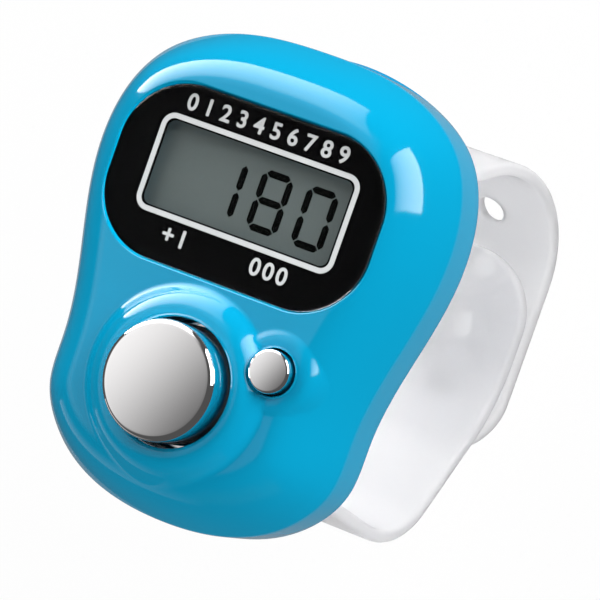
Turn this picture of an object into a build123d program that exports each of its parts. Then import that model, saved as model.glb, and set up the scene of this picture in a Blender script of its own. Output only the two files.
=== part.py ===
"""Digital tasbih counter worn on a finger: a domed casing with a display, two buttons and a strap loop.

Units are millimetres. X runs to the right of the display, Y up the display, and Z out of its front.
The origin is the middle of the finger loop, where the finger's axis runs along X.
"""
import os
from math import atan, cos, hypot, pi, radians, sin, sqrt, tan

from build123d import *

os.makedirs("parts", exist_ok=True)

# Casing: half outline seen from the front, and heights above the finger's axis
CASING_TOP = 19.5
CASING_BOTTOM = -19.6
BROW_HALF = 8.5
BROW_Y = 18.45
SHOULDER_HALF = 13.5
SHOULDER_Y = 15.25
HEAD_HALF = 15.85
HEAD_Y = 7.2
FLANK_HALF = 14.5
FLANK_Y = -1.0
WAIST_HALF = 13.3
WAIST_Y = -8.2
HIP_HALF = 13.0
HIP_Y = -12.6
HEEL_HALF = 10.5
HEEL_Y = -16.35
REAR_RIM_Z = 13.0
SIDE_HEIGHT = 3.7
DOME_HEIGHT = 5.6
DOME_INSET = 4.7
DOME_POWER = 2.1
CAVITY_POWER = 1.4
WALL = 1.4
BACK_CROWN = 1.6
BACK_WALL = 1.2
LIP_HEIGHT = 1.2
LIP_WALL = 0.9
LIP_GAP = 0.1

# Display window: a clear lens, its printed mask and the tape that holds them in a pocket
DISPLAY_Y = 7.2
LENS_HALF_WIDTH = 11.75
LENS_TOP = 13.85
LENS_BOTTOM = -0.25
LENS_CORNER = 5.6
LENS_THICK = 1.1
LENS_EDGE_ROUND = 0.45
LENS_GAP = 0.1
MASK_THICK = 0.1
MASK_WINDOW_WIDTH = 16.7
MASK_WINDOW_HEIGHT = 6.9
MASK_WINDOW_CORNER = 0.7
TAPE_THICK = 0.2
TAPE_WIDTH = 1.6
LEDGE_THICK = 0.8
VIEW_MARGIN = 0.5

# Liquid crystal cell
CELL_WIDTH = 19.4
CELL_HEIGHT = 10.6
CELL_LEDGE = 1.9
GLASS_THICK = 0.55
FILM_THICK = 0.15
FILM_MARGIN = 0.5
CELL_GAP = 0.15
CELL_RIB = 0.7
CELL_RIB_DEPTH = 2.0

# Circuit board and what stands on it
BOARD_TOP_Z = 17.2
BOARD_THICK = 0.8
BOARD_INSET = 3.2
ZEBRA_WIDTH = 1.3
ZEBRA_END = 0.9
FOAM_WIDTH = 1.2
GLOB_RADIUS = 3.0
GLOB_HEIGHT = 1.0
GLOB_X = 3.5
POST_RADIUS = 1.5
POST_X = 9.8
POST_Y = -1.2
POST_TOP_Y = 15.3

# Screws: four that close the casing and three that hold the board
BOSS_RADIUS = 1.5
BOSS_TOP_INSET = 2.6
BOSS_TOP_Y = 12.9
BOSS_LOW_INSET = 3.75
BOSS_LOW_Y = -13.0
CASE_SCREW_RADIUS = 0.7
CASE_SCREW_LENGTH = 5.4
CASE_HEAD_RADIUS = 1.25
CASE_HEAD_HEIGHT = 0.9
CASE_HEAD_SINK = 1.1
PILLAR_RADIUS = 2.0
BOSS_END = 0.5
BOARD_SCREW_RADIUS = 0.65
BOARD_SCREW_LENGTH = 3.0
BOARD_HEAD_RADIUS = 1.2
BOARD_HEAD_HEIGHT = 0.6
SCREW_SLOT = 0.3
SLOT_SPAN = 1.4
SCREW_GAP = 0.05
SHANK_GAP = 0.2
PILOT_SPARE = 0.5

# Count button, its raised collar and its rubber dome
COUNT_Y = -8.55
COUNT_RADIUS = 4.75
COUNT_BORE_GAP = 0.17
COUNT_RISE = 3.55
COUNT_CROWN = 0.12
COUNT_EDGE_ROUND = 0.5
COUNT_FLANGE = 0.58
COUNT_TRAVEL = 1.0
COUNT_SKIN = 1.0
COUNT_HUB_RADIUS = 2.4
COUNT_PAD_RADIUS = 2.4
COUNT_DOME_RADIUS = 5.1
COUNT_PILL_RADIUS = 1.5
COLLAR_RISE = 1.35
COLLAR_TOP_WIDTH = 0.85
COLLAR_FLARE = 3.0
COLLAR_RIM_ROUND = 0.35

# Reset button, the low mound round it and its rubber dome
RESET_X = 7.55
RESET_Y = -5.05
RESET_RADIUS = 1.72
RESET_BORE_GAP = 0.15
RESET_RISE = 1.2
RESET_CROWN = 0.08
RESET_EDGE_ROUND = 0.3
RESET_FLANGE = 0.5
RESET_TRAVEL = 0.7
RESET_SKIN = 0.5
RESET_HUB_RADIUS = 0.8
RESET_PAD_RADIUS = 1.3
RESET_DOME_RADIUS = 2.6
RESET_PILL_RADIUS = 0.7
RING_RISE = 0.5
RING_TOP_WIDTH = 0.8
RING_FLARE = 2.0

# Shared button sizes
FLANGE_THICK = 0.8
FLANGE_GAP = 0.05
FLANGE_ROOM = 0.15
DOME_BASE = 0.5
DOME_PAD = 0.6
DOME_WALL = 0.45
PILL_THICK = 0.4
PILL_GAP = 0.1

# Button cell and its two spring contacts
CELL_BATTERY_RADIUS = 5.8
CELL_BATTERY_HEIGHT = 3.05
CELL_BATTERY_Y = -2.0
CELL_BATTERY_LID = 0.5
CELL_BATTERY_STEP = 0.9
CELL_BATTERY_ROUND = 0.3
CELL_BATTERY_RING = 0.8
CELL_BATTERY_RING_GAP = 0.15
CELL_BATTERY_RING_HEIGHT = 2.0
CONTACT_THICK = 0.15
CONTACT_WIDTH = 2.4
CONTACT_GAP = 0.3
MINUS_ROOT_X = -8.0
MINUS_BEND_X = -4.5
MINUS_TIP_X = 2.0
PLUS_TAIL_X = -3.0

# Strap: two straps that lean to the right, the upper outside the lower, with holes over one stud
STRAP_WIDTH = 12.0
STRAP_THICK = 1.1
STRAP_LEAN = 14.75
STRAP_LAP_GAP = 0.25
STRAP_SLOT_GAP = 0.2
STRAP_BEAD = 2.6
STRAP_BEAD_HEIGHT = 1.3
STRAP_NECK = 2.0
STRAP_NECK_BEND = 3.0
UPPER_ROOT_Y = 9.7
UPPER_LEG_SLOPE = 0.44
UPPER_BEND = 8.55
LOOP_DEPTH = 28.9
TAIL_TIP_Y = -9.0
TAIL_SPLIT_Y = 5.0
SPLIT_GAP = 0.05
LOWER_ROOT_Y = -13.2
LOWER_ELBOW_Y = -17.4
LOWER_ELBOW_DEPTH = 20.5
LOWER_ELBOW_BEND = 5.0
LOWER_RISE_Y = -3.5
LOWER_RISE_BEND = 18.0
LOWER_TIP_Y = 9.0
STUD_Y = -3.2
STUD_RADIUS = 0.85
STUD_RISE = 0.4
HOLE_GAP = 0.3
HOLE_PITCH = 5.33
TAIL_HOLES = 2
LEG_HOLES = 2

# Heights that follow from the sizes above
EDGE_Z = REAR_RIM_Z + SIDE_HEIGHT
FRONT_Z = EDGE_Z + DOME_HEIGHT
BACK_Z = REAR_RIM_Z - BACK_CROWN
BACK_INNER_Z = BACK_Z + BACK_WALL
LIP_Z = REAR_RIM_Z + LIP_HEIGHT
POCKET_Z = FRONT_Z - LENS_THICK - MASK_THICK - TAPE_THICK
CEILING_Z = POCKET_Z - LEDGE_THICK
BOARD_LOW_Z = BOARD_TOP_Z - BOARD_THICK
GLASS_TOP_Z = CEILING_Z - FILM_THICK
GLASS_MID_Z = GLASS_TOP_Z - GLASS_THICK
GLASS_LOW_Z = GLASS_MID_Z - GLASS_THICK
CELL_LOW_Z = GLASS_LOW_Z - FILM_THICK
FLANGE_TOP_Z = CEILING_Z - FLANGE_GAP
LENS_MID_Y = (LENS_TOP + LENS_BOTTOM) / 2
LENS_HEIGHT = LENS_TOP - LENS_BOTTOM
CELL_TOP_Y = DISPLAY_Y + CELL_HEIGHT / 2
CELL_BOTTOM_Y = DISPLAY_Y - CELL_HEIGHT / 2
HOLE_RADIUS = STUD_RADIUS + HOLE_GAP
ZEBRA_LENGTH = CELL_WIDTH - 2 * ZEBRA_END


def half_width_between(y, high, low):
    """Half width of the casing at y, on the straight line from one outline point to the next."""
    return low[0] + (high[0] - low[0]) * (y - low[1]) / (high[1] - low[1])


shoulder_point = (SHOULDER_HALF, SHOULDER_Y)
head_point = (HEAD_HALF, HEAD_Y)
hip_point = (HIP_HALF, HIP_Y)
heel_point = (HEEL_HALF, HEEL_Y)
BOSS_TOP_X = half_width_between(BOSS_TOP_Y, shoulder_point, head_point) - BOSS_TOP_INSET
BOSS_LOW_X = half_width_between(BOSS_LOW_Y, hip_point, heel_point) - BOSS_LOW_INSET
CASE_SCREWS = [
    (BOSS_TOP_X, BOSS_TOP_Y),
    (-BOSS_TOP_X, BOSS_TOP_Y),
    (BOSS_LOW_X, BOSS_LOW_Y),
    (-BOSS_LOW_X, BOSS_LOW_Y),
]
BOARD_SCREWS = [(POST_X, POST_Y), (-POST_X, POST_Y), (0, POST_TOP_Y)]
COUNT_PLACE = [(0, COUNT_Y)]
RESET_PLACE = [(RESET_X, RESET_Y)]
BATTERY_PLACE = [(0, CELL_BATTERY_Y)]

HALF_OUTLINE = [
    (BROW_HALF, BROW_Y),
    shoulder_point,
    head_point,
    (FLANK_HALF, FLANK_Y),
    (WAIST_HALF, WAIST_Y),
    hip_point,
    heel_point,
]


def outline_points(inset):
    """Points of the casing's outline, each moved inwards along its own normal."""
    right = [(0, CASING_TOP)] + HALF_OUTLINE + [(0, CASING_BOTTOM)]
    loop = right + [(-x, y) for x, y in reversed(HALF_OUTLINE)]
    moved = []
    for i, (x, y) in enumerate(loop):
        before = loop[i - 1]
        after = loop[(i + 1) % len(loop)]
        back = hypot(x - before[0], y - before[1])
        ahead = hypot(after[0] - x, after[1] - y)
        along_x = (x - before[0]) * ahead / back + (after[0] - x) * back / ahead
        along_y = (y - before[1]) * ahead / back + (after[1] - y) * back / ahead
        length = hypot(along_x, along_y)
        moved.append((x + inset * along_y / length, y - inset * along_x / length))
    return moved


def casing_section(z, inset):
    """The casing's outline as a face at height z."""
    with BuildSketch(Plane.XY.offset(z)) as section:
        with BuildLine():
            Spline(*outline_points(inset), periodic=True)
        make_face()
    return section.sketch


def lens_section(z, grow):
    """The display window's outline, a rounded rectangle, grown by a margin."""
    with BuildSketch(Plane.XY.offset(z)) as section:
        with Locations((0, LENS_MID_Y)):
            RectangleRounded(2 * (LENS_HALF_WIDTH + grow), LENS_HEIGHT + 2 * grow, LENS_CORNER + grow)
    return section.sketch


def box_section(z, width, height, y, corner=0.0):
    """A plain or rounded rectangle on the display's middle line."""
    with BuildSketch(Plane.XY.offset(z)) as section:
        with Locations((0, y)):
            if corner > 0:
                RectangleRounded(width, height, corner)
            else:
                Rectangle(width, height)
    return section.sketch


def disc_section(z, radius, places):
    """One disc at each place."""
    with BuildSketch(Plane.XY.offset(z)) as section:
        with Locations(*places):
            Circle(radius)
    return section.sketch


def finish(builder, name):
    """Label a finished piece and write its file."""
    builder.part.label = name
    export_step(builder.part, f"parts/{name}.step")


# Front shell
# The dome rises from a crisp edge in a convex curve, steep at first and flat where the window begins
DOME_STEPS = [0.0, 0.16, 0.36, 0.62, 0.88, 1.0]
CAVITY_STEPS = [0.0, 0.4, 0.7, 1.0]
SHOULDER_REACH = 0.45


def dome_height(share):
    """Share of the dome's height reached at a share of its inset: a leaning curve, steep at the edge."""
    return 1 - (1 - share) ** DOME_POWER


def mound_section(x, y, flat, rise, flare):
    """Half a mound: flat on top, then a shoulder that rolls over and falls into the dome."""
    top = FRONT_Z + rise
    with BuildSketch(Plane.XZ.offset(-y)) as section:
        with BuildLine():
            Polyline((x + flat + flare, CEILING_Z), (x, CEILING_Z), (x, top), (x + flat, top))
            Spline(
                (x + flat, top),
                (x + flat + flare * SHOULDER_REACH, FRONT_Z + rise * SHOULDER_REACH),
                (x + flat + flare, CEILING_Z),
                tangents=((1, 0), (SHOULDER_REACH, -1)),
            )
        make_face()
    return section.sketch


with BuildPart() as front_shell:
    extrude(casing_section(REAR_RIM_Z, 0), amount=SIDE_HEIGHT)
    dome = []
    for share in DOME_STEPS:
        dome.append(casing_section(EDGE_Z + DOME_HEIGHT * dome_height(share), DOME_INSET * share))
    loft(dome)
    # Mounds round the two buttons, which run out into the dome and into each other
    count_bore = COUNT_RADIUS + COUNT_BORE_GAP
    reset_bore = RESET_RADIUS + RESET_BORE_GAP
    revolve(
        mound_section(0, COUNT_Y, count_bore + COLLAR_TOP_WIDTH, COLLAR_RISE, COLLAR_FLARE),
        axis=Axis((0, COUNT_Y, 0), (0, 0, 1)),
    )
    revolve(
        mound_section(RESET_X, RESET_Y, reset_bore + RING_TOP_WIDTH, RING_RISE, RING_FLARE),
        axis=Axis((RESET_X, RESET_Y, 0), (0, 0, 1)),
    )
    # Hollow inside
    extrude(casing_section(REAR_RIM_Z, WALL), amount=SIDE_HEIGHT - WALL / 2, mode=Mode.SUBTRACT)
    inner_low = REAR_RIM_Z + SIDE_HEIGHT - WALL / 2
    inner_rise = CEILING_Z - inner_low
    cavity = []
    for share in CAVITY_STEPS:
        inset = WALL + (DOME_INSET - WALL) * share ** CAVITY_POWER
        cavity.append(casing_section(inner_low + inner_rise * share, inset))
    loft(cavity, mode=Mode.SUBTRACT)
    # Ribs that hold the liquid crystal cell, bosses for the screws and posts for the board
    rib_z = CEILING_Z - CELL_RIB_DEPTH
    rib_width = CELL_WIDTH + 2 * (CELL_GAP + CELL_RIB)
    rib_height = CELL_HEIGHT + 2 * (CELL_GAP + CELL_RIB)
    extrude(box_section(rib_z, rib_width, rib_height, DISPLAY_Y), amount=CELL_RIB_DEPTH)
    extrude(
        box_section(rib_z, CELL_WIDTH + 2 * CELL_GAP, CELL_HEIGHT + 2 * CELL_GAP, DISPLAY_Y),
        amount=CELL_RIB_DEPTH,
        mode=Mode.SUBTRACT,
    )
    case_reach = BACK_Z + CASE_HEAD_SINK + CASE_SCREW_LENGTH + PILOT_SPARE - LIP_Z
    extrude(disc_section(LIP_Z, BOSS_RADIUS, CASE_SCREWS), amount=case_reach + BOSS_END)
    extrude(disc_section(BOARD_TOP_Z, POST_RADIUS, BOARD_SCREWS), amount=CEILING_Z - BOARD_TOP_Z)
    extrude(
        disc_section(LIP_Z, CASE_SCREW_RADIUS + SCREW_GAP, CASE_SCREWS),
        amount=case_reach,
        mode=Mode.SUBTRACT,
    )
    board_reach = BOARD_LOW_Z + BOARD_SCREW_LENGTH + PILOT_SPARE - BOARD_TOP_Z
    extrude(
        disc_section(BOARD_TOP_Z, BOARD_SCREW_RADIUS + SCREW_GAP, BOARD_SCREWS),
        amount=board_reach,
        mode=Mode.SUBTRACT,
    )
    # Room for the buttons' flanges under the ceiling
    room_height = CEILING_Z - BOARD_TOP_Z
    count_room = COUNT_RADIUS + COUNT_FLANGE + FLANGE_ROOM
    extrude(disc_section(BOARD_TOP_Z, count_room, COUNT_PLACE), amount=room_height, mode=Mode.SUBTRACT)
    reset_room = RESET_RADIUS + RESET_FLANGE + FLANGE_ROOM
    extrude(disc_section(BOARD_TOP_Z, reset_room, RESET_PLACE), amount=room_height, mode=Mode.SUBTRACT)
    # Window pocket, its viewing hole and the two button bores
    extrude(lens_section(POCKET_Z, LENS_GAP), amount=FRONT_Z, mode=Mode.SUBTRACT)
    view_width = MASK_WINDOW_WIDTH + 2 * VIEW_MARGIN
    view_height = MASK_WINDOW_HEIGHT + 2 * VIEW_MARGIN
    above = FRONT_Z + COLLAR_RISE
    for cut in (
        box_section(CEILING_Z, view_width, view_height, DISPLAY_Y),
        disc_section(CEILING_Z, count_bore, COUNT_PLACE),
        disc_section(CEILING_Z, reset_bore, RESET_PLACE),
    ):
        extrude(cut, amount=above - CEILING_Z, mode=Mode.SUBTRACT)
    rims = front_shell.edges().filter_by(GeomType.CIRCLE).group_by(Axis.Z)[-1]
    fillet(rims.sort_by(SortBy.RADIUS)[0], COLLAR_RIM_ROUND)
finish(front_shell, "front_shell")


# Rear cover
with BuildPart() as rear_cover:
    loft([casing_section(BACK_Z, BACK_CROWN), casing_section(REAR_RIM_Z, 0)], ruled=True)
    extrude(casing_section(REAR_RIM_Z, WALL + LIP_GAP), amount=LIP_HEIGHT)
    # Hollow, with pillars left standing to meet the front shell's bosses
    with BuildSketch(Plane.XY.offset(BACK_INNER_Z)):
        with BuildLine():
            Spline(*outline_points(WALL + LIP_GAP + LIP_WALL), periodic=True)
        make_face()
        with Locations(*CASE_SCREWS):
            Circle(PILLAR_RADIUS, mode=Mode.SUBTRACT)
    extrude(amount=LIP_Z - BACK_INNER_Z, mode=Mode.SUBTRACT)
    # Ring that locates the button cell, open where the plus contact climbs
    ring_inner = CELL_BATTERY_RADIUS + CELL_BATTERY_RING_GAP
    ring_outer = ring_inner + CELL_BATTERY_RING
    extrude(disc_section(BACK_INNER_Z, ring_outer, BATTERY_PLACE), amount=CELL_BATTERY_RING_HEIGHT)
    extrude(
        disc_section(BACK_INNER_Z, ring_inner, BATTERY_PLACE),
        amount=CELL_BATTERY_RING_HEIGHT,
        mode=Mode.SUBTRACT,
    )
    with BuildSketch(Plane.XY.offset(BACK_INNER_Z)):
        with Locations((ring_inner + CELL_BATTERY_RING / 2, CELL_BATTERY_Y)):
            Rectangle(2 * CELL_BATTERY_RING, CONTACT_WIDTH + 2 * CONTACT_GAP)
    extrude(amount=CELL_BATTERY_RING_HEIGHT, mode=Mode.SUBTRACT)
    # Screw holes and strap slots
    extrude(
        disc_section(BACK_Z, CASE_SCREW_RADIUS + SHANK_GAP, CASE_SCREWS),
        amount=LIP_Z - BACK_Z,
        mode=Mode.SUBTRACT,
    )
    extrude(
        disc_section(BACK_Z, CASE_HEAD_RADIUS + SHANK_GAP, CASE_SCREWS),
        amount=CASE_HEAD_SINK,
        mode=Mode.SUBTRACT,
    )
    with BuildSketch(Plane.XY.offset(BACK_Z)):
        with Locations((0, UPPER_ROOT_Y), (0, LOWER_ROOT_Y)):
            Rectangle(STRAP_WIDTH + 2 * STRAP_SLOT_GAP, STRAP_THICK + 2 * STRAP_SLOT_GAP)
    extrude(amount=BACK_WALL, mode=Mode.SUBTRACT)
finish(rear_cover, "rear_cover")


# Display window
with BuildPart() as window_lens:
    extrude(lens_section(FRONT_Z - LENS_THICK, 0), amount=LENS_THICK)
    fillet(window_lens.faces().sort_by(Axis.Z)[-1].edges(), LENS_EDGE_ROUND)
finish(window_lens, "window_lens")

with BuildPart() as window_mask:
    mask_z = FRONT_Z - LENS_THICK - MASK_THICK
    extrude(lens_section(mask_z, 0), amount=MASK_THICK)
    extrude(
        box_section(mask_z, MASK_WINDOW_WIDTH, MASK_WINDOW_HEIGHT, DISPLAY_Y, MASK_WINDOW_CORNER),
        amount=MASK_THICK,
        mode=Mode.SUBTRACT,
    )
finish(window_mask, "window_mask")

with BuildPart() as window_tape:
    extrude(lens_section(POCKET_Z, 0), amount=TAPE_THICK)
    extrude(lens_section(POCKET_Z, -TAPE_WIDTH), amount=TAPE_THICK, mode=Mode.SUBTRACT)
finish(window_tape, "window_tape")


# Liquid crystal cell: two glass plates between two polarising films
film_width = CELL_WIDTH - 2 * FILM_MARGIN
front_film_height = CELL_HEIGHT - 2 * FILM_MARGIN
film_height = front_film_height - CELL_LEDGE
upper_mid_y = DISPLAY_Y + CELL_LEDGE / 2

with BuildPart() as front_polariser:
    extrude(box_section(GLASS_TOP_Z, film_width, front_film_height, DISPLAY_Y), amount=FILM_THICK)
finish(front_polariser, "front_polariser")

with BuildPart() as front_glass:
    extrude(box_section(GLASS_MID_Z, CELL_WIDTH, CELL_HEIGHT, DISPLAY_Y), amount=GLASS_THICK)
finish(front_glass, "front_glass")

with BuildPart() as rear_glass:
    extrude(box_section(GLASS_LOW_Z, CELL_WIDTH, CELL_HEIGHT - CELL_LEDGE, upper_mid_y), amount=GLASS_THICK)
finish(rear_glass, "rear_glass")

with BuildPart() as rear_reflector:
    extrude(box_section(CELL_LOW_Z, film_width, film_height, upper_mid_y), amount=FILM_THICK)
finish(rear_reflector, "rear_reflector")

with BuildPart() as zebra_connector:
    zebra_y = CELL_BOTTOM_Y + CELL_LEDGE / 2
    extrude(box_section(BOARD_TOP_Z, ZEBRA_LENGTH, ZEBRA_WIDTH, zebra_y), amount=GLASS_MID_Z - BOARD_TOP_Z)
finish(zebra_connector, "zebra_connector")

with BuildPart() as foam_strip:
    foam_y = CELL_TOP_Y - FILM_MARGIN - FOAM_WIDTH / 2
    extrude(box_section(BOARD_TOP_Z, ZEBRA_LENGTH, FOAM_WIDTH, foam_y), amount=CELL_LOW_Z - BOARD_TOP_Z)
finish(foam_strip, "foam_strip")


# Circuit board
with BuildPart() as circuit_board:
    extrude(casing_section(BOARD_LOW_Z, BOARD_INSET), amount=BOARD_THICK)
    extrude(
        disc_section(BOARD_LOW_Z, BOSS_RADIUS + SHANK_GAP, CASE_SCREWS),
        amount=BOARD_THICK,
        mode=Mode.SUBTRACT,
    )
    extrude(
        disc_section(BOARD_LOW_Z, BOARD_SCREW_RADIUS + SHANK_GAP, BOARD_SCREWS),
        amount=BOARD_THICK,
        mode=Mode.SUBTRACT,
    )
finish(circuit_board, "circuit_board")

with BuildPart() as chip_glob:
    # A low cap of resin: a slice of the sphere with the glob's radius and height
    sphere_radius = (GLOB_RADIUS ** 2 + GLOB_HEIGHT ** 2) / (2 * GLOB_HEIGHT)
    with BuildSketch(Plane.XZ.offset(-DISPLAY_Y)):
        with BuildLine():
            Line((GLOB_X, BOARD_TOP_Z + GLOB_HEIGHT), (GLOB_X, BOARD_TOP_Z))
            Line((GLOB_X, BOARD_TOP_Z), (GLOB_X + GLOB_RADIUS, BOARD_TOP_Z))
            RadiusArc(
                (GLOB_X + GLOB_RADIUS, BOARD_TOP_Z),
                (GLOB_X, BOARD_TOP_Z + GLOB_HEIGHT),
                -sphere_radius,
            )
        make_face()
    revolve(axis=Axis((GLOB_X, DISPLAY_Y, 0), (0, 0, 1)))
finish(chip_glob, "chip_glob")


# Buttons, rubber domes and carbon pills
def make_button(x, y, radius, rise, crown, edge, flange, skin, hub, pad_z):
    """A plated cap: crowned top with a rounded edge, hollow skirt, retaining flange and a middle hub."""
    top = FRONT_Z + rise
    low = FLANGE_TOP_Z - FLANGE_THICK
    flat = radius - edge
    crown_ball = (flat ** 2 + crown ** 2) / (2 * crown)
    with BuildPart() as cap:
        with BuildSketch(Plane.XZ.offset(-y)):
            with BuildLine():
                Line((x, top + crown), (x, low))
                Line((x, low), (x + radius + flange, low))
                Line((x + radius + flange, low), (x + radius + flange, FLANGE_TOP_Z))
                Line((x + radius + flange, FLANGE_TOP_Z), (x + radius, FLANGE_TOP_Z))
                Line((x + radius, FLANGE_TOP_Z), (x + radius, top - edge))
                corner = edge * (1 - cos(pi / 4))
                ThreePointArc(
                    (x + radius, top - edge),
                    (x + radius - corner, top - corner),
                    (x + flat, top),
                )
                RadiusArc((x + flat, top), (x, top + crown), -crown_ball)
            make_face()
        revolve(axis=Axis((x, y, 0), (0, 0, 1)))
        inside = top - skin
        extrude(disc_section(low, radius - skin, [(x, y)]), amount=inside - low, mode=Mode.SUBTRACT)
        extrude(disc_section(pad_z, hub, [(x, y)]), amount=inside - pad_z)
    return cap


def dome_heights(travel):
    """Heights of the carbon pill's lower face, its upper face and the rubber pad's top."""
    pill_low = BOARD_TOP_Z + travel + PILL_GAP
    return pill_low, pill_low + PILL_THICK, pill_low + PILL_THICK + DOME_PAD


def make_dome(x, y, base_radius, pad_radius, travel):
    """A rubber dome: a flat foot, a conical skirt and a thick pad above the pill."""
    pill_low, pad_low, pad_top = dome_heights(travel)
    foot_top = BOARD_TOP_Z + DOME_BASE
    skirt = base_radius - DOME_BASE
    with BuildPart() as dome:
        with BuildSketch(Plane.XZ.offset(-y)):
            with BuildLine():
                Polyline(
                    (x, pad_low),
                    (x + pad_radius - DOME_WALL, pad_low),
                    (x + skirt - DOME_WALL, BOARD_TOP_Z),
                    (x + base_radius, BOARD_TOP_Z),
                    (x + base_radius, foot_top),
                    (x + skirt, foot_top),
                    (x + pad_radius, pad_low),
                    (x + pad_radius, pad_top),
                    (x, pad_top),
                    close=True,
                )
            make_face()
        revolve(axis=Axis((x, y, 0), (0, 0, 1)))
    return dome


def make_pill(x, y, radius, travel):
    """A carbon disc under a dome's pad."""
    pill_low = dome_heights(travel)[0]
    with BuildPart() as pill:
        extrude(disc_section(pill_low, radius, [(x, y)]), amount=PILL_THICK)
    return pill


count_pad = dome_heights(COUNT_TRAVEL)[2]
reset_pad = dome_heights(RESET_TRAVEL)[2]
count_button = make_button(
    0,
    COUNT_Y,
    COUNT_RADIUS,
    COUNT_RISE,
    COUNT_CROWN,
    COUNT_EDGE_ROUND,
    COUNT_FLANGE,
    COUNT_SKIN,
    COUNT_HUB_RADIUS,
    count_pad,
)
finish(count_button, "count_button")
reset_button = make_button(
    RESET_X,
    RESET_Y,
    RESET_RADIUS,
    RESET_RISE,
    RESET_CROWN,
    RESET_EDGE_ROUND,
    RESET_FLANGE,
    RESET_SKIN,
    RESET_HUB_RADIUS,
    reset_pad,
)
finish(reset_button, "reset_button")
finish(make_dome(0, COUNT_Y, COUNT_DOME_RADIUS, COUNT_PAD_RADIUS, COUNT_TRAVEL), "count_dome")
finish(make_dome(RESET_X, RESET_Y, RESET_DOME_RADIUS, RESET_PAD_RADIUS, RESET_TRAVEL), "reset_dome")
finish(make_pill(0, COUNT_Y, COUNT_PILL_RADIUS, COUNT_TRAVEL), "count_pill")
finish(make_pill(RESET_X, RESET_Y, RESET_PILL_RADIUS, RESET_TRAVEL), "reset_pill")


# Button cell and spring contacts
battery_low = BACK_INNER_Z + CONTACT_THICK
battery_top = battery_low + CELL_BATTERY_HEIGHT
with BuildPart() as button_cell:
    can_height = CELL_BATTERY_HEIGHT - CELL_BATTERY_LID
    extrude(disc_section(battery_low, CELL_BATTERY_RADIUS, BATTERY_PLACE), amount=can_height)
    fillet(button_cell.edges().filter_by(GeomType.CIRCLE), CELL_BATTERY_ROUND)
    lid_radius = CELL_BATTERY_RADIUS - CELL_BATTERY_STEP
    extrude(disc_section(battery_low + can_height, lid_radius, BATTERY_PLACE), amount=CELL_BATTERY_LID)
finish(button_cell, "button_cell")


def make_contact(points):
    """A sheet strip bent along points of X and Z, as wide as the contacts are."""
    with BuildPart() as strip:
        with BuildSketch(Plane.XZ.offset(-CELL_BATTERY_Y)):
            with BuildLine() as bend:
                Polyline(*points)
            trace(bend.line, line_width=CONTACT_THICK)
        extrude(amount=CONTACT_WIDTH / 2, both=True)
    return strip


half_sheet = CONTACT_THICK / 2
minus_root_z = BOARD_LOW_Z - half_sheet
minus_touch_z = battery_top + CONTACT_THICK
minus_contact = make_contact([
    (MINUS_ROOT_X, minus_root_z),
    (MINUS_BEND_X, minus_root_z),
    (0, minus_touch_z),
    (MINUS_TIP_X, (minus_root_z + minus_touch_z) / 2),
])
finish(minus_contact, "minus_contact")
plus_leg_x = CELL_BATTERY_RADIUS + CONTACT_GAP + half_sheet
plus_contact = make_contact([
    (PLUS_TAIL_X, BACK_INNER_Z + half_sheet),
    (plus_leg_x, BACK_INNER_Z + half_sheet),
    (plus_leg_x, BOARD_LOW_Z),
])
finish(plus_contact, "plus_contact")


# Screws
def make_screws(places, seat_z, radius, length, head_radius, head_height):
    """Pan-headed screws pointing up, with a cross slot in each head."""
    with BuildPart() as screws:
        extrude(disc_section(seat_z, radius, places), amount=length)
        extrude(disc_section(seat_z, head_radius, places), amount=-head_height)
        with BuildSketch(Plane.XY.offset(seat_z - head_height)):
            with Locations(*places):
                Rectangle(SLOT_SPAN * head_radius, SCREW_SLOT)
                Rectangle(SCREW_SLOT, SLOT_SPAN * head_radius)
        extrude(amount=head_height / 2, mode=Mode.SUBTRACT)
    return screws


case_screws = make_screws(
    CASE_SCREWS,
    BACK_Z + CASE_HEAD_SINK,
    CASE_SCREW_RADIUS,
    CASE_SCREW_LENGTH,
    CASE_HEAD_RADIUS,
    CASE_HEAD_HEIGHT,
)
finish(case_screws, "case_screws")
board_screws = make_screws(
    BOARD_SCREWS,
    BOARD_LOW_Z,
    BOARD_SCREW_RADIUS,
    BOARD_SCREW_LENGTH,
    BOARD_HEAD_RADIUS,
    BOARD_HEAD_HEIGHT,
)
finish(board_screws, "board_screws")


# Straps
half_strap = STRAP_THICK / 2
half_width = STRAP_WIDTH / 2
neck_z = BACK_Z - STRAP_NECK
tail_mid_z = REAR_RIM_Z - LOOP_DEPTH + half_strap
tongue_mid_z = tail_mid_z + STRAP_THICK + STRAP_LAP_GAP
LEAN_SLOPE = tan(radians(STRAP_LEAN))


def lean_shift(z):
    """How far to the right the leaning straps have moved at height z."""
    return (neck_z - z) * LEAN_SLOPE


def strap_band(points, bends):
    """A strap as a band along points of Y and Z with rounded bends, cut to its leaning edges."""
    bottom_z = REAR_RIM_Z - LOOP_DEPTH - STRAP_THICK
    with BuildPart() as band:
        with BuildSketch(Plane.YZ):
            with BuildLine() as route:
                FilletPolyline(*points, radius=bends)
            trace(route.line, line_width=STRAP_THICK)
        extrude(amount=2 * STRAP_WIDTH, both=True)
        with BuildSketch(Plane.XZ):
            with BuildLine():
                Polyline(
                    (-half_width, LIP_Z),
                    (half_width, LIP_Z),
                    (half_width, neck_z),
                    (half_width + lean_shift(bottom_z), bottom_z),
                    (-half_width + lean_shift(bottom_z), bottom_z),
                    (-half_width, neck_z),
                    close=True,
                )
            make_face()
        extrude(amount=LOOP_DEPTH + STRAP_WIDTH, both=True, mode=Mode.INTERSECT)
        # Bead inside the rear cover that keeps the strap from pulling out of its slot
        extrude(box_section(BACK_INNER_Z, STRAP_WIDTH, STRAP_BEAD, points[0][0]), amount=STRAP_BEAD_HEIGHT)
    return band


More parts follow.
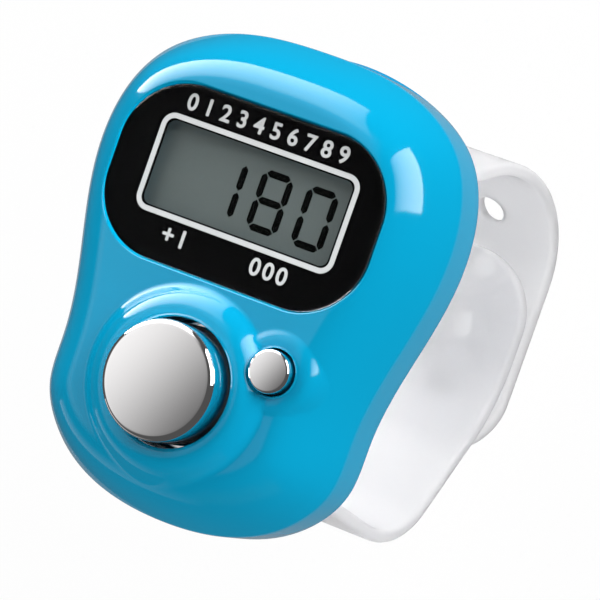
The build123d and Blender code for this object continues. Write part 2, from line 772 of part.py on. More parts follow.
leg_turn = pi / 2 + atan(UPPER_LEG_SLOPE)
bend_y = UPPER_ROOT_Y + UPPER_LEG_SLOPE * (neck_z - tail_mid_z)
bend_end_y = bend_y - UPPER_BEND * tan(leg_turn / 2)

upper_band = strap_band(
    [
        (UPPER_ROOT_Y, BACK_INNER_Z),
        (UPPER_ROOT_Y, neck_z),
        (bend_y, tail_mid_z),
        (TAIL_SPLIT_Y, tail_mid_z),
    ],
    [STRAP_NECK_BEND, UPPER_BEND],
)
with BuildPart() as upper_strap:
    add(upper_band.part)
    for i in range(LEG_HOLES):
        # Holes follow the strap round its bend: the angle is the way past the bend's end over its radius
        angle = (STUD_Y + (TAIL_HOLES + i) * HOLE_PITCH - bend_end_y) / UPPER_BEND
        hole_y = bend_end_y + UPPER_BEND * sin(angle)
        hole_z = tail_mid_z + UPPER_BEND * (1 - cos(angle))
        middle = (lean_shift(hole_z), hole_y, hole_z)
        with BuildSketch(Plane(middle, (1, 0, 0), (0, sin(angle), -cos(angle)))):
            Circle(HOLE_RADIUS)
        extrude(amount=STRAP_THICK, both=True, mode=Mode.SUBTRACT)
finish(upper_strap, "upper_strap")

tail_x = lean_shift(tail_mid_z)
with BuildPart() as strap_tail:
    with BuildSketch(Plane.XY.offset(tail_mid_z - half_strap)):
        straight_end = TAIL_TIP_Y + half_width
        straight_length = TAIL_SPLIT_Y - SPLIT_GAP - straight_end
        with Locations((tail_x, straight_end + straight_length / 2)):
            Rectangle(STRAP_WIDTH, straight_length)
        with Locations((tail_x, straight_end)):
            Circle(half_width)
        with Locations(*[(tail_x, STUD_Y + i * HOLE_PITCH) for i in range(TAIL_HOLES)]):
            Circle(HOLE_RADIUS, mode=Mode.SUBTRACT)
    extrude(amount=STRAP_THICK)
finish(strap_tail, "strap_tail")

lower_band = strap_band(
    [
        (LOWER_ROOT_Y, BACK_INNER_Z),
        (LOWER_ROOT_Y, neck_z),
        (LOWER_ELBOW_Y, REAR_RIM_Z - LOWER_ELBOW_DEPTH),
        (LOWER_RISE_Y, tongue_mid_z),
        (LOWER_TIP_Y, tongue_mid_z),
    ],
    [STRAP_NECK_BEND, LOWER_ELBOW_BEND, LOWER_RISE_BEND],
)
tongue_x = lean_shift(tongue_mid_z)
# The stud grows from the middle of the strap, which is still rising out of its last bend there
rise_turn = atan((REAR_RIM_Z - LOWER_ELBOW_DEPTH - tongue_mid_z) / (LOWER_RISE_Y - LOWER_ELBOW_Y))
flat_start_y = LOWER_RISE_Y + LOWER_RISE_BEND * tan(rise_turn / 2)
into_bend = max(0, flat_start_y - STUD_Y)
stud_top = tongue_mid_z + LOWER_RISE_BEND - sqrt(LOWER_RISE_BEND ** 2 - into_bend ** 2)
with BuildPart() as lower_strap:
    add(lower_band.part)
    # Round the tongue's end
    with BuildSketch(Plane.XY.offset(tongue_mid_z)):
        with Locations((tongue_x, LOWER_TIP_Y)):
            Rectangle(2 * STRAP_WIDTH, STRAP_WIDTH)
        with Locations((tongue_x, LOWER_TIP_Y - half_width)):
            Circle(half_width, mode=Mode.SUBTRACT)
    extrude(amount=STRAP_THICK, both=True, mode=Mode.SUBTRACT)
    # Stud that the tail's holes drop over
    stud_tip = REAR_RIM_Z - LOOP_DEPTH - STUD_RISE
    extrude(disc_section(stud_top, STUD_RADIUS, [(tail_x, STUD_Y)]), amount=stud_tip - stud_top)
finish(lower_strap, "lower_strap")
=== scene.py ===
# %% [markdown]
# # A digital tasbih counter
# The counter is a small blue casing with a display window, two chrome buttons and a clear strap that
# closes in a loop round a finger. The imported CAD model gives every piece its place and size. This lesson
# dresses it: the pieces that show get fine surfaces worked out with numpy, and all pieces get finishes.

# %% Load the frame
import bmesh
import bpy
import numpy as np
from mathutils import Matrix, Quaternion, Vector, geometry


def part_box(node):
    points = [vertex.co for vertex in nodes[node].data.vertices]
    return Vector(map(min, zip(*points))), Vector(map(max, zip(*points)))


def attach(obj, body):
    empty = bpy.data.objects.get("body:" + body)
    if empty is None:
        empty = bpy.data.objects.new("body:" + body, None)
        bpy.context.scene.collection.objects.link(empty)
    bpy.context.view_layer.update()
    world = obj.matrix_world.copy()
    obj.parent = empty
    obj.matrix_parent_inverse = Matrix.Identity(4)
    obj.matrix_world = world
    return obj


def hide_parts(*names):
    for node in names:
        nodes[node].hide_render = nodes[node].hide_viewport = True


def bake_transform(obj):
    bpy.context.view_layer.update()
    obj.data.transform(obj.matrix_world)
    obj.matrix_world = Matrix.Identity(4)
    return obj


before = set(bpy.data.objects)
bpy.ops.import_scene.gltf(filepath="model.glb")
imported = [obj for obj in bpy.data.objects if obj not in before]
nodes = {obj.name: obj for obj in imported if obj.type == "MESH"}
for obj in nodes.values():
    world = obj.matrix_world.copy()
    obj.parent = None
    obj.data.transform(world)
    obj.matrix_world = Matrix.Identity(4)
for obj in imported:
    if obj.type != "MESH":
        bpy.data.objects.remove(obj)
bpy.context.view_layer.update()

MM = 0.001

# %% [markdown]
# ## Helpers for surfaces
# A surface here is a pair of arrays: points in millimetres, and faces as rows of point numbers. A stack of
# loops makes a tube-like wall, and a flat pattern fills the area between loops with triangles. Pieces are
# built from several such surfaces that share their edge points, and the shared points are then merged.

# %% Stacks of loops and flat patterns
SAME_POINT = 1e-7


def stack(loops):
    """A wall through closed loops of equal length: each face joins two neighbours on two loops."""
    loops = np.asarray(loops, float)
    rows, count = loops.shape[:2]
    index = np.arange(rows * count).reshape(rows, count)
    ahead = np.roll(index, -1, axis=1)
    faces = np.stack([index[:-1], ahead[:-1], ahead[1:], index[1:]], axis=-1)
    return loops.reshape(-1, 3), faces.reshape(-1, 4)


def inside(points, loop):
    """Which points lie inside a closed loop: a ray to the right crosses its edges an odd number of times."""
    start = loop[None]
    end = np.roll(loop, -1, axis=0)[None]
    x = points[:, None, 0]
    y = points[:, None, 1]
    spans = (start[..., 1] > y) != (end[..., 1] > y)
    rise = np.where(end[..., 1] == start[..., 1], 1.0, end[..., 1] - start[..., 1])
    cross_x = start[..., 0] + (y - start[..., 1]) * (end[..., 0] - start[..., 0]) / rise
    return np.count_nonzero(spans & (x < cross_x), axis=1) % 2 == 1


def flat_pattern(outer, holes, fill):
    """Triangles between an outer loop and hole loops, through extra fill points, by Delaunay's rule."""
    loops = [outer] + list(holes)
    starts = np.cumsum([0] + [len(loop) for loop in loops])
    runs = [np.arange(start, end) for start, end in zip(starts, starts[1:])]
    edges = [np.stack([run, np.roll(run, -1)], axis=1) for run in runs]
    points = np.vstack(loops + [fill])
    found = geometry.delaunay_2d_cdt(
        list(map(Vector, points.tolist())), np.vstack(edges).tolist(), [], 0, SAME_POINT, False
    )
    flat = np.array(found[0])
    triangles = np.array(found[2])
    middle = flat[triangles].mean(axis=1)
    keep = inside(middle, outer)
    for hole in holes:
        keep &= ~inside(middle, hole)
    return flat, triangles[keep]


def raise_to(flat, height):
    """Flat points with a height as their third value."""
    return np.column_stack([flat, np.broadcast_to(height, len(flat))])


def ring(centre, radius, count, height=0.0):
    """A circle of points round a centre, at one height."""
    turn = np.linspace(0, 2 * np.pi, count, endpoint=False)
    x = centre[0] + radius * np.cos(turn)
    y = centre[1] + radius * np.sin(turn)
    return np.stack([x, y, np.full(count, height)], axis=1)


def away(points, centre):
    """Flat distance of each point from a centre."""
    return np.hypot(*(points[:, :2] - centre).T)


def quarter_round(size, steps):
    """Insets and depths down a rounded edge, from its full inset at the top to its full depth."""
    turn = np.linspace(0, np.pi / 2, steps)
    return [(size * (1 - np.sin(a)), size * (1 - np.cos(a))) for a in turn]


def rounded_box(centre, half_width, half_height, corner, per_corner):
    """A rounded rectangle: four quarter circles, joined by straight sides with evenly spread points."""
    turn = np.linspace(0, np.pi / 2, per_corner)
    arcs = []
    for quarter, (sx, sy) in enumerate([(1, 1), (-1, 1), (-1, -1), (1, -1)]):
        angle = turn + quarter * np.pi / 2
        x = centre[0] + sx * (half_width - corner) + corner * np.cos(angle)
        y = centre[1] + sy * (half_height - corner) + corner * np.sin(angle)
        arcs.append(np.stack([x, y], axis=1))
    loop = []
    steps = np.linspace(0, 1, per_corner + 2)[1:-1, None]
    for arc, following in zip(arcs, arcs[1:] + arcs[:1]):
        loop += [arc, arc[-1] + (following[0] - arc[-1]) * steps]
    return np.vstack(loop)


# %% Turn surfaces into pieces
SHARP_ANGLE = np.radians(38)
MERGE = 1e-6
POLE_RADIUS = 1e-6


def make_piece(name, surfaces, normal_of=None):
    """One object from several surfaces: points are joined, doubles merged and faces turned outwards."""
    points = np.vstack([p for p, _ in surfaces]) * MM
    starts = np.cumsum([0] + [len(p) for p, _ in surfaces])
    faces = [row for (_, f), start in zip(surfaces, starts) for row in (f + start).tolist()]
    mesh = bpy.data.meshes.new(name)
    mesh.from_pydata(points.tolist(), [], faces)
    shape = bmesh.new()
    shape.from_mesh(mesh)
    bmesh.ops.remove_doubles(shape, verts=shape.verts, dist=MERGE)
    bmesh.ops.dissolve_degenerate(shape, edges=shape.edges, dist=MERGE / 10)
    bmesh.ops.recalc_face_normals(shape, faces=shape.faces)
    open_edges = sum(edge.is_boundary for edge in shape.edges)
    shape.to_mesh(mesh)
    shape.free()
    mesh.shade_smooth()
    mesh.set_sharp_from_angle(angle=SHARP_ANGLE)
    if normal_of is not None:
        spots = np.empty(len(mesh.vertices) * 3)
        mesh.vertices.foreach_get("co", spots)
        mesh.normals_split_custom_set_from_vertices(normal_of(spots.reshape(-1, 3) / MM).tolist())
    piece = bpy.data.objects.new(name, mesh)
    bpy.context.scene.collection.objects.link(piece)
    print(f"{name}: {len(mesh.vertices)} points, {len(mesh.polygons)} faces, {open_edges} open edges")
    return piece


def lathe(profile, centre, count):
    """A profile of radius and height turned round an upright axis; radius 0 closes it at a pole."""
    return stack([ring(centre, max(radius, POLE_RADIUS), count, height) for radius, height in profile])


# %% [markdown]
# ## The camera
# The photograph was taken from the right and from above with a long lens. The camera's turn and place were
# found by fitting the display frame, the buttons and the casing's outline, so they are kept as measured.

# %% Camera
VIEW_TURN = Vector((-0.03039, -0.41334, -0.34199))
VIEW_UNIT = 0.926
VIEW_DISTANCE = 300.0
VIEW_SHIFT = Vector((-4.742, 9.077, 0))
VIEW_AIM = Vector((0, 7.2, 22.3))
SENSOR = 36.0
LENS = 216.0
NEAREST = 10.0

view = Quaternion(VIEW_TURN.normalized(), VIEW_TURN.length).to_matrix()
eye = view.transposed() @ (Vector((0, 0, VIEW_DISTANCE)) - VIEW_SHIFT) * VIEW_UNIT + VIEW_AIM
camera_data = bpy.data.cameras.new("camera")
camera_data.sensor_width = SENSOR
camera_data.lens = LENS
camera_data.clip_start = NEAREST * MM
camera = bpy.data.objects.new("camera", camera_data)
camera.matrix_world = Matrix.Translation(eye * MM) @ view.transposed().to_4x4()
bpy.context.scene.collection.objects.link(camera)
bpy.context.scene.camera = camera
print("camera at", [round(v, 1) for v in eye], "mm")

# %% [markdown]
# ## Shared finish groups
# No real surface is one flat colour. Moulded plastic varies a little in tone and gloss, and metal has faint
# hairlines. Both effects are node groups, built once and placed in each material with its own values. They
# read Object coordinates, so a pattern stays where it is when its piece moves.


# %% Node groups
def new_group(name, inputs, outputs):
    """An empty shader group with named sockets, given as (name, kind, default)."""
    group = bpy.data.node_groups.new(name, "ShaderNodeTree")
    for label, kind, value in inputs:
        socket = group.interface.new_socket(name=label, in_out="INPUT", socket_type=kind)
        socket.default_value = value
    for label, kind in outputs:
        group.interface.new_socket(name=label, in_out="OUTPUT", socket_type=kind)
    return group, group.nodes.new("NodeGroupInput"), group.nodes.new("NodeGroupOutput")


def add_node(tree, kind, values=None, links=None):
    """A node with some inputs set by name or number and others linked from sockets."""
    node = tree.nodes.new(kind)
    for key, value in (values or {}).items():
        node.inputs[key].default_value = value
    for key, socket in (links or {}).items():
        tree.links.new(socket, node.inputs[key])
    return node


def mapped(tree, value, source, target, kind="LINEAR"):
    """A value carried from a source range to a target range, evenly or by a smooth step."""
    limits = {"From Min": source[0], "From Max": source[1], "To Min": target[0], "To Max": target[1]}
    node = add_node(tree, "ShaderNodeMapRange", limits, {"Value": value})
    node.interpolation_type = kind
    return node.outputs["Result"]


def combine(tree, operation, first, second):
    """One sum on two values, each of them a socket or a plain number."""
    node = tree.nodes.new("ShaderNodeMath")
    node.operation = operation
    for socket, value in zip(node.inputs, (first, second)):
        if isinstance(value, bpy.types.NodeSocket):
            tree.links.new(value, socket)
        else:
            socket.default_value = value
    return node.outputs[0]


def mix_shaders(tree, share, first, second):
    """Two shaders mixed by a share that a socket gives: 0 is the first, 1 the second."""
    return add_node(tree, "ShaderNodeMixShader", {}, {0: share, 1: first, 2: second}).outputs["Shader"]


def build_mottle():
    """Soft cloudy variation: two colours mixed by noise, a roughness between two values, a fine height."""
    group, given, out = new_group(
        "moulded_mottle",
        [
            ("Place", "NodeSocketVector", (0, 0, 0)),
            ("Dark", "NodeSocketColor", (0.1, 0.1, 0.1, 1)),
            ("Light", "NodeSocketColor", (0.2, 0.2, 0.2, 1)),
            ("Scale", "NodeSocketFloat", 300.0),
            ("Smooth", "NodeSocketFloat", 0.1),
            ("Rough", "NodeSocketFloat", 0.2),
            ("Grain", "NodeSocketFloat", 3000.0),
        ],
        [("Colour", "NodeSocketColor"), ("Roughness", "NodeSocketFloat"), ("Height", "NodeSocketFloat")],
    )
    cloud = add_node(group, "ShaderNodeTexNoise", {"Detail": 3.0},
                     {"Vector": given.outputs["Place"], "Scale": given.outputs["Scale"]})
    speck = add_node(group, "ShaderNodeTexNoise", {"Detail": 2.0},
                     {"Vector": given.outputs["Place"], "Scale": given.outputs["Grain"]})
    tone = group.nodes.new("ShaderNodeMix")
    tone.data_type = "RGBA"
    colours = [socket for socket in tone.inputs if socket.type == "RGBA"]
    group.links.new(cloud.outputs["Fac"], tone.inputs[0])
    group.links.new(given.outputs["Dark"], colours[0])
    group.links.new(given.outputs["Light"], colours[1])
    gloss = add_node(group, "ShaderNodeMapRange", {"From Min": 0.3, "From Max": 0.7},
                     {"Value": speck.outputs["Fac"], "To Min": given.outputs["Smooth"],
                      "To Max": given.outputs["Rough"]})
    mixed = [socket for socket in tone.outputs if socket.type == "RGBA"][0]
    group.links.new(mixed, out.inputs["Colour"])
    group.links.new(gloss.outputs["Result"], out.inputs["Roughness"])
    group.links.new(speck.outputs["Fac"], out.inputs["Height"])
    return group


def build_hairlines():
    """Fine polishing lines: noise stretched along one direction, as a roughness and a height."""
    group, given, out = new_group(
        "polishing_lines",
        [
            ("Place", "NodeSocketVector", (0, 0, 0)),
            ("Scale", "NodeSocketFloat", 900.0),
            ("Smooth", "NodeSocketFloat", 0.05),
            ("Rough", "NodeSocketFloat", 0.12),
        ],
        [("Roughness", "NodeSocketFloat"), ("Height", "NodeSocketFloat")],
    )
    stretch = add_node(group, "ShaderNodeMapping", {"Scale": (1.0, 14.0, 1.0), "Rotation": (0, 0, 0.5)},
                       {"Vector": given.outputs["Place"]})
    lines = add_node(group, "ShaderNodeTexNoise", {"Detail": 4.0},
                     {"Vector": stretch.outputs["Vector"], "Scale": given.outputs["Scale"]})
    gloss = add_node(group, "ShaderNodeMapRange", {"From Min": 0.35, "From Max": 0.75},
                     {"Value": lines.outputs["Fac"], "To Min": given.outputs["Smooth"],
                      "To Max": given.outputs["Rough"]})
    group.links.new(gloss.outputs["Result"], out.inputs["Roughness"])
    group.links.new(lines.outputs["Fac"], out.inputs["Height"])
    return group


mottle_group = build_mottle()
hairline_group = build_hairlines()
print("node groups:", mottle_group.name, hairline_group.name)


# %% Functions for the finishes
BUMP_DEPTH = 0.1


def new_material(name):
    """A material with nodes, its tree and its Principled shader."""
    material = bpy.data.materials.new(name)
    material.use_nodes = True
    return material, material.node_tree, material.node_tree.nodes["Principled BSDF"]


def object_place(tree):
    """The socket that gives Object coordinates."""
    return tree.nodes.new("ShaderNodeTexCoord").outputs["Object"]


def set_sockets(node, values):
    """Set plain values on a node's inputs by name."""
    for key, value in values.items():
        node.inputs[key].default_value = value


def show_surface(tree, shader):
    """Make a shader socket the one that the material shows."""
    tree.links.new(shader, tree.nodes["Material Output"].inputs["Surface"])


def add_finish(tree, shader, group, values, bump):
    """Place a finish group, and link its roughness and, through a bump, its height to the shader."""
    finish = tree.nodes.new("ShaderNodeGroup")
    finish.node_tree = group
    set_sockets(finish, values)
    tree.links.new(object_place(tree), finish.inputs["Place"])
    tree.links.new(finish.outputs["Roughness"], shader.inputs["Roughness"])
    dent = add_node(tree, "ShaderNodeBump", {"Strength": bump, "Distance": BUMP_DEPTH * MM},
                    {"Height": finish.outputs["Height"]})
    tree.links.new(dent.outputs["Normal"], shader.inputs["Normal"])
    return finish


def tint(colour, share):
    """A colour made darker or lighter by a share, with its alpha."""
    return tuple(min(1.0, c * share) for c in colour) + (1.0,)


def moulded(name, colour, smooth, rough, spread=0.06, scale=220.0, grain=2500.0, bump=0.02, sockets=None):
    """Moulded finish: cloudy tone of +- spread, roughness from smooth to rough, and a fine bump."""
    material, tree, shader = new_material(name)
    values = {"Dark": tint(colour, 1 - spread), "Light": tint(colour, 1 + spread), "Scale": scale,
              "Smooth": smooth, "Rough": rough, "Grain": grain}
    finish = add_finish(tree, shader, mottle_group, values, bump)
    tree.links.new(finish.outputs["Colour"], shader.inputs["Base Color"])
    set_sockets(shader, sockets or {})
    return material


def polished(name, colour, smooth, rough, bump=0.01, scale=900.0):
    """Polished metal: a plain metal colour with hairlines in its roughness and a trace of bump."""
    material, tree, shader = new_material(name)
    set_sockets(shader, {"Base Color": tint(colour, 1.0), "Metallic": 1.0})
    add_finish(tree, shader, hairline_group, {"Scale": scale, "Smooth": smooth, "Rough": rough}, bump)
    return material


def paint_nodes(material, *names):
    """Give CAD nodes, which keep their meshes, a better material."""
    for name in names:
        nodes[name].data.materials.clear()
        nodes[name].data.materials.append(material)
    print(material.name, "on", " and ".join(names))


def wear(piece, material, body="casing", instead_of=()):
    """Give a new piece its material and body, and hide the CAD nodes that it stands for."""
    piece.data.materials.clear()
    piece.data.materials.append(material)
    if body:
        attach(piece, body)
    if instead_of:
        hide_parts(*instead_of)


# %% [markdown]
# ## The casing's outline
# Seen from the front, the casing is an egg with a waist. Nine points on each side give the outline, and a
# closed curve runs through them. The same curve, with its points moved inwards along their own normals,
# gives every other ring of the casing, so the wall, the dome and the inside all follow one shape.

# %% Outline curve
HALF_OUTLINE = np.array([
    (0, 19.5), (8.5, 18.45), (13.5, 15.25), (15.85, 7.2), (14.5, -1.0),
    (13.3, -8.2), (13.0, -12.6), (10.5, -16.35), (0, -19.6),
])
PER_SPAN = 30
FINE_SPAN = 64


def closed_curve(knots, per_span):
    """Cubic pieces through closed knots with matching slope and bend, timed by the knots' distances."""
    count = len(knots)
    ahead = np.roll(knots, -1, axis=0)
    gap = np.linalg.norm(ahead - knots, axis=1)
    gap_back = np.roll(gap, 1)
    slope = (ahead - knots) / gap[:, None]
    one = np.eye(count)
    system = np.diag(2 * (gap + gap_back))
    system += gap_back[:, None] * np.roll(one, -1, axis=1) + gap[:, None] * np.roll(one, 1, axis=1)
    bend = np.linalg.solve(system, 6 * (slope - np.roll(slope, 1, axis=0)))
    t = np.linspace(0, 1, per_span, endpoint=False)[None, :, None]
    square = (gap ** 2)[:, None, None] / 6
    first, last = bend[:, None], np.roll(bend, -1, axis=0)[:, None]
    curve = first * square * (1 - t) ** 3 + last * square * t ** 3
    curve += (knots[:, None] - first * square) * (1 - t) + (ahead[:, None] - last * square) * t
    return curve.reshape(-1, 2)


def outline_loop(inset, per_span=PER_SPAN):
    """The casing's outline with its knots moved inwards along their normals."""
    knots = np.vstack([HALF_OUTLINE, (HALF_OUTLINE * (-1, 1))[-2:0:-1]])
    back = knots - np.roll(knots, 1, axis=0)
    ahead = np.roll(knots, -1, axis=0) - knots
    back_length = np.linalg.norm(back, axis=1, keepdims=True)
    ahead_length = np.linalg.norm(ahead, axis=1, keepdims=True)
    along = back * ahead_length / back_length + ahead * back_length / ahead_length
    along /= np.linalg.norm(along, axis=1, keepdims=True)
    return closed_curve(knots + inset * along[:, ::-1] * (1, -1), per_span)


edge_line = outline_loop(0, FINE_SPAN)
print("outline", np.round(np.ptp(edge_line, axis=0), 2), "mm")

# %% [markdown]
# ## The front's height
# The front is one moulded surface. From a crisp edge it rises in a steep, then flattening curve to the
# window's level. A raised collar stands round the count button and a low ring round the reset button. All
# three run into each other without a crease: a soft maximum of their heights does exactly that.

# %% Height of the front
FRONT_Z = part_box("window_lens")[1].z / MM
REAR_RIM_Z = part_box("front_shell")[0].z / MM
SIDE_HEIGHT = 3.7
DOME_INSET = 4.7
DOME_POWER = 2.1
EDGE_Z = REAR_RIM_Z + SIDE_HEIGHT
CEILING_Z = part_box("front_polariser")[1].z / MM
COUNT_AT = np.array((0, -8.55))
COUNT_BORE = 5.12
COLLAR_FLAT = 5.77
COLLAR_RISE = 1.35
COLLAR_FLARE = 3.0
RESET_AT = np.array((7.55, -5.05))
RESET_BORE = 1.87
RING_FLAT = 2.25
RING_RISE = 0.12
RING_FLARE = 1.85
SHOULDER_REACH = 0.45
DOME_JOIN = 0.45
COARSE = 16


def edge_distance(points):
    """Shortest way from each point to the casing's edge line: nearest coarse point, then its segments."""
    flat = points[:, None, :2]
    coarse = edge_line[None, ::COARSE]
    nearest = ((flat - coarse) ** 2).sum(-1).argmin(axis=1) * COARSE
    tries = (nearest[:, None] + np.arange(-2 * COARSE, 2 * COARSE)) % len(edge_line)
    start = edge_line[tries]
    along = np.roll(edge_line, -1, axis=0)[tries] - start
    share = ((flat - start) * along).sum(-1) / (along ** 2).sum(-1)
    foot = start + np.clip(share, 0, 1)[..., None] * along
    return np.sqrt(((flat - foot) ** 2).sum(-1).min(axis=1))


def mound_height(points, centre, flat, rise, flare):
    """A flat-topped mound whose side falls by a square and a cube of the way past its flat."""
    drop = rise + FRONT_Z - CEILING_Z
    half_drop = rise * (1 - SHOULDER_REACH)
    square = (half_drop - drop * SHOULDER_REACH ** 3) / (SHOULDER_REACH ** 2 - SHOULDER_REACH ** 3)
    square = max(square, 0.0)
    past = np.clip((away(points, centre) - flat) / flare, 0, 2)
    return FRONT_Z + rise - square * past ** 2 - (drop - square) * past ** 3


def soft_max(a, b, soft):
    """The larger of two heights, rounded where they are closer than soft."""
    near = np.clip(1 - np.abs(a - b) / soft, 0, 1)
    return np.maximum(a, b) + soft * near ** 2 / 4


def front_height(points):
    """Height of the front over flat points: the dome, softly joined to the collar and the low ring."""
    share = np.clip(edge_distance(points) / DOME_INSET, 0, 1)
    dome = EDGE_Z + (FRONT_Z - EDGE_Z) * (1 - (1 - share) ** DOME_POWER)
    collar = mound_height(points, COUNT_AT, COLLAR_FLAT, COLLAR_RISE, COLLAR_FLARE)
    low_ring = mound_height(points, RESET_AT, RING_FLAT, RING_RISE, RING_FLARE)
    return soft_max(soft_max(dome, collar, DOME_JOIN), low_ring, DOME_JOIN)


# %% Normals of the front
NORMAL_STEP = 0.03
ON_SURFACE = 0.004
EDGE_BAND = 0.12


def front_normals(points):
    """Upward normals from the height's slopes for points on the front, and none elsewhere."""
    flat = points[:, :2]
    step_x, step_y = np.array((NORMAL_STEP, 0)), np.array((0, NORMAL_STEP))
    slope_x = (front_height(flat + step_x) - front_height(flat - step_x)) / (2 * NORMAL_STEP)
    slope_y = (front_height(flat + step_y) - front_height(flat - step_y)) / (2 * NORMAL_STEP)
    normals = np.stack([-slope_x, -slope_y, np.ones(len(flat))], axis=1)
    normals /= np.linalg.norm(normals, axis=1, keepdims=True)
    on_front = np.abs(front_height(flat) - points[:, 2]) < ON_SURFACE
    on_front &= edge_distance(flat) > EDGE_BAND + 2 * NORMAL_STEP
    return normals * on_front[:, None]


print("height of the count collar", front_height(COUNT_AT[None] + (COLLAR_FLAT, 0)).round(2), "mm")

# %% [markdown]
# ## The front shell
# The shell is moulded in glossy blue plastic. Its top is a flat pattern, raised to the height above: rings
# of points follow the outline, the collar and the mound, so that triangles run along the curves. Walls
# close it: the side, the lips of the window and the bores, the pocket and the hollow inside.

# %% Loops of the front shell
LENS_HALF = np.array((11.75, 7.05))
LENS_AT = np.array((0, 6.8))
LENS_CORNER = 5.6
LENS_GAP = 0.1
LIP_ROUND = 0.14
POCKET_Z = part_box("window_tape")[0].z / MM
VIEW_HALF = np.array((8.85, 3.95))
VIEW_AT = np.array((0, 7.2))
VIEW_CORNER = 0.4
CEILING_GAP = 0.02
UNDER = CEILING_Z + CEILING_GAP
CORNER_STEPS = 36
VIEW_STEPS = 8
MOUTH_STEPS = 7
BORES = [  # middle, radius, round of its lip, points round it
    (COUNT_AT, COUNT_BORE, 0.35, 200),
    (RESET_AT, RESET_BORE, 0.2, 120),
]


def window_loop(grow, height=None):
    """The display window's outline grown by a margin, flat or at a height."""
    loop = rounded_box(LENS_AT, *(LENS_HALF + grow), LENS_CORNER + grow, CORNER_STEPS)
    return loop if height is None else raise_to(loop, height)


def view_loop(height=None):
    """The viewing hole under the window, flat or at a height."""
    loop = rounded_box(VIEW_AT, *VIEW_HALF, VIEW_CORNER, VIEW_STEPS)
    return loop if height is None else raise_to(loop, height)


def bore_wall(centre, bore, lip, steps):
    """A bore's wall: rings that roll down from the front over a rounded lip, then a straight side."""
    rings = [ring(centre, bore + inset, steps, -depth) for inset, depth in quarter_round(lip, MOUTH_STEPS)]
    mouth = front_height(rings[0])
    rings = np.array(rings) + (0, 0, mouth.mean())
    rings[0, :, 2] = mouth
    return stack([*rings, ring(centre, bore, steps, UNDER)])


print("window opening", 2 * (LENS_HALF + LENS_GAP), "mm,", len(BORES), "bores")

# %% Points for the front's pattern
EDGE_INSETS = np.concatenate([[0.2, 0.3, 0.42], np.arange(0.6, 6.0, 0.3)])
COLLAR_RADII = np.arange(5.45, 9.6, 0.18)
RING_RADII = np.arange(2.2, 4.7, 0.1)
COLLAR_REACH = 9.7
RING_REACH = 4.8
EDGE_REACH = 6.0
GRID_X = np.arange(-9, 9, 0.5)
GRID_Y = np.arange(-15, 18, 0.5)
GRID_CLEAR = 0.1
EDGE_CLEAR = 0.25
BORE_CLEAR = 0.05
WINDOW_CLEAR = 0.12


def circles(bore, radii):
    """Flat circles of points round a bore's middle."""
    centre, _, _, steps = bore
    return np.vstack([ring(centre, radius, steps)[:, :2] for radius in radii])


def front_fill():
    """Rings of the outline, of the collar and of the low ring, and a grid on the flat, kept apart."""
    rings = np.vstack([outline_loop(inset) for inset in EDGE_INSETS])
    rings = rings[(away(rings, COUNT_AT) > COLLAR_REACH) & (away(rings, RESET_AT) > RING_REACH)]
    collar = circles(BORES[0], COLLAR_RADII)
    collar = collar[(away(collar, RESET_AT) > RING_REACH) & (edge_distance(collar) > EDGE_CLEAR)]
    low = circles(BORES[1], RING_RADII)
    low = low[away(low, COUNT_AT) > COLLAR_RADII[0] - BORE_CLEAR]
    grid = np.stack(np.meshgrid(GRID_X, GRID_Y), axis=-1).reshape(-1, 2)
    grid = grid[away(grid, COUNT_AT) > COLLAR_REACH + GRID_CLEAR]
    grid = grid[away(grid, RESET_AT) > RING_REACH + GRID_CLEAR]
    grid = grid[edge_distance(grid) > EDGE_REACH + GRID_CLEAR]
    fill = np.vstack([rings, collar, low, grid])
    window = window_loop(LENS_GAP + LIP_ROUND + WINDOW_CLEAR)
    return fill[inside(fill, edge_line) & ~inside(fill, window)]


fill_points = front_fill()
print(len(fill_points), "points fill the front's pattern")

# %% Front shell
WALL = 1.4
SEAM_ROUND = 0.12
ROLL_START_Z = EDGE_Z - 0.3
ROLL_CORNER_Z = EDGE_Z + 0.05
CEILING_INSET = 3.4
HOLLOW_Z = EDGE_Z - WALL / 2
HOLLOW_POWER = 1.4
SEAM_STEPS = 5
SIDE_STEPS = 6
HOLLOW_STEPS = 8
NO_FILL = np.empty((0, 2))


def front_face():
    """The front: a flat pattern with the window and both bores cut out, raised to the front's height."""
    mouths = [ring(centre, bore + lip, steps)[:, :2] for centre, bore, lip, steps in BORES]
    holes = [window_loop(LENS_GAP + LIP_ROUND)] + mouths
    flat, triangles = flat_pattern(outline_loop(EDGE_BAND), holes, fill_points)
    return raise_to(flat, front_height(flat)), triangles


def side_loops():
    """Loops up the side: a small round at the seam, the wall, and a curve that rolls onto the front."""
    edge = outline_loop(0)
    top = outline_loop(EDGE_BAND)
    rounds = quarter_round(SEAM_ROUND, SEAM_STEPS)
    seam = [raise_to(outline_loop(inset), REAR_RIM_Z + depth) for inset, depth in rounds]
    heights = np.linspace(REAR_RIM_Z + SEAM_ROUND, ROLL_START_Z, SIDE_STEPS)
    wall = [raise_to(edge, z) for z in heights[1:-1]]
    low = raise_to(edge, ROLL_START_Z)
    corner = raise_to(edge, ROLL_CORNER_Z)
    high = raise_to(top, front_height(top))
    shares = np.linspace(0, 1, SIDE_STEPS)
    roll = [low * (1 - t) ** 2 + corner * 2 * t * (1 - t) + high * t ** 2 for t in shares]
    return seam + wall + roll


def hollow_loops():
    """Loops up the hollow inside: an upright wall, then a curve that closes in to the ceiling."""
    share = np.linspace(0, 1, HOLLOW_STEPS)
    insets = WALL + (CEILING_INSET - WALL) * share ** HOLLOW_POWER
    heights = HOLLOW_Z + (UNDER - HOLLOW_Z) * share
    curve = [raise_to(outline_loop(inset), z) for inset, z in zip(insets, heights)]
    return [raise_to(outline_loop(WALL), REAR_RIM_Z)] + curve


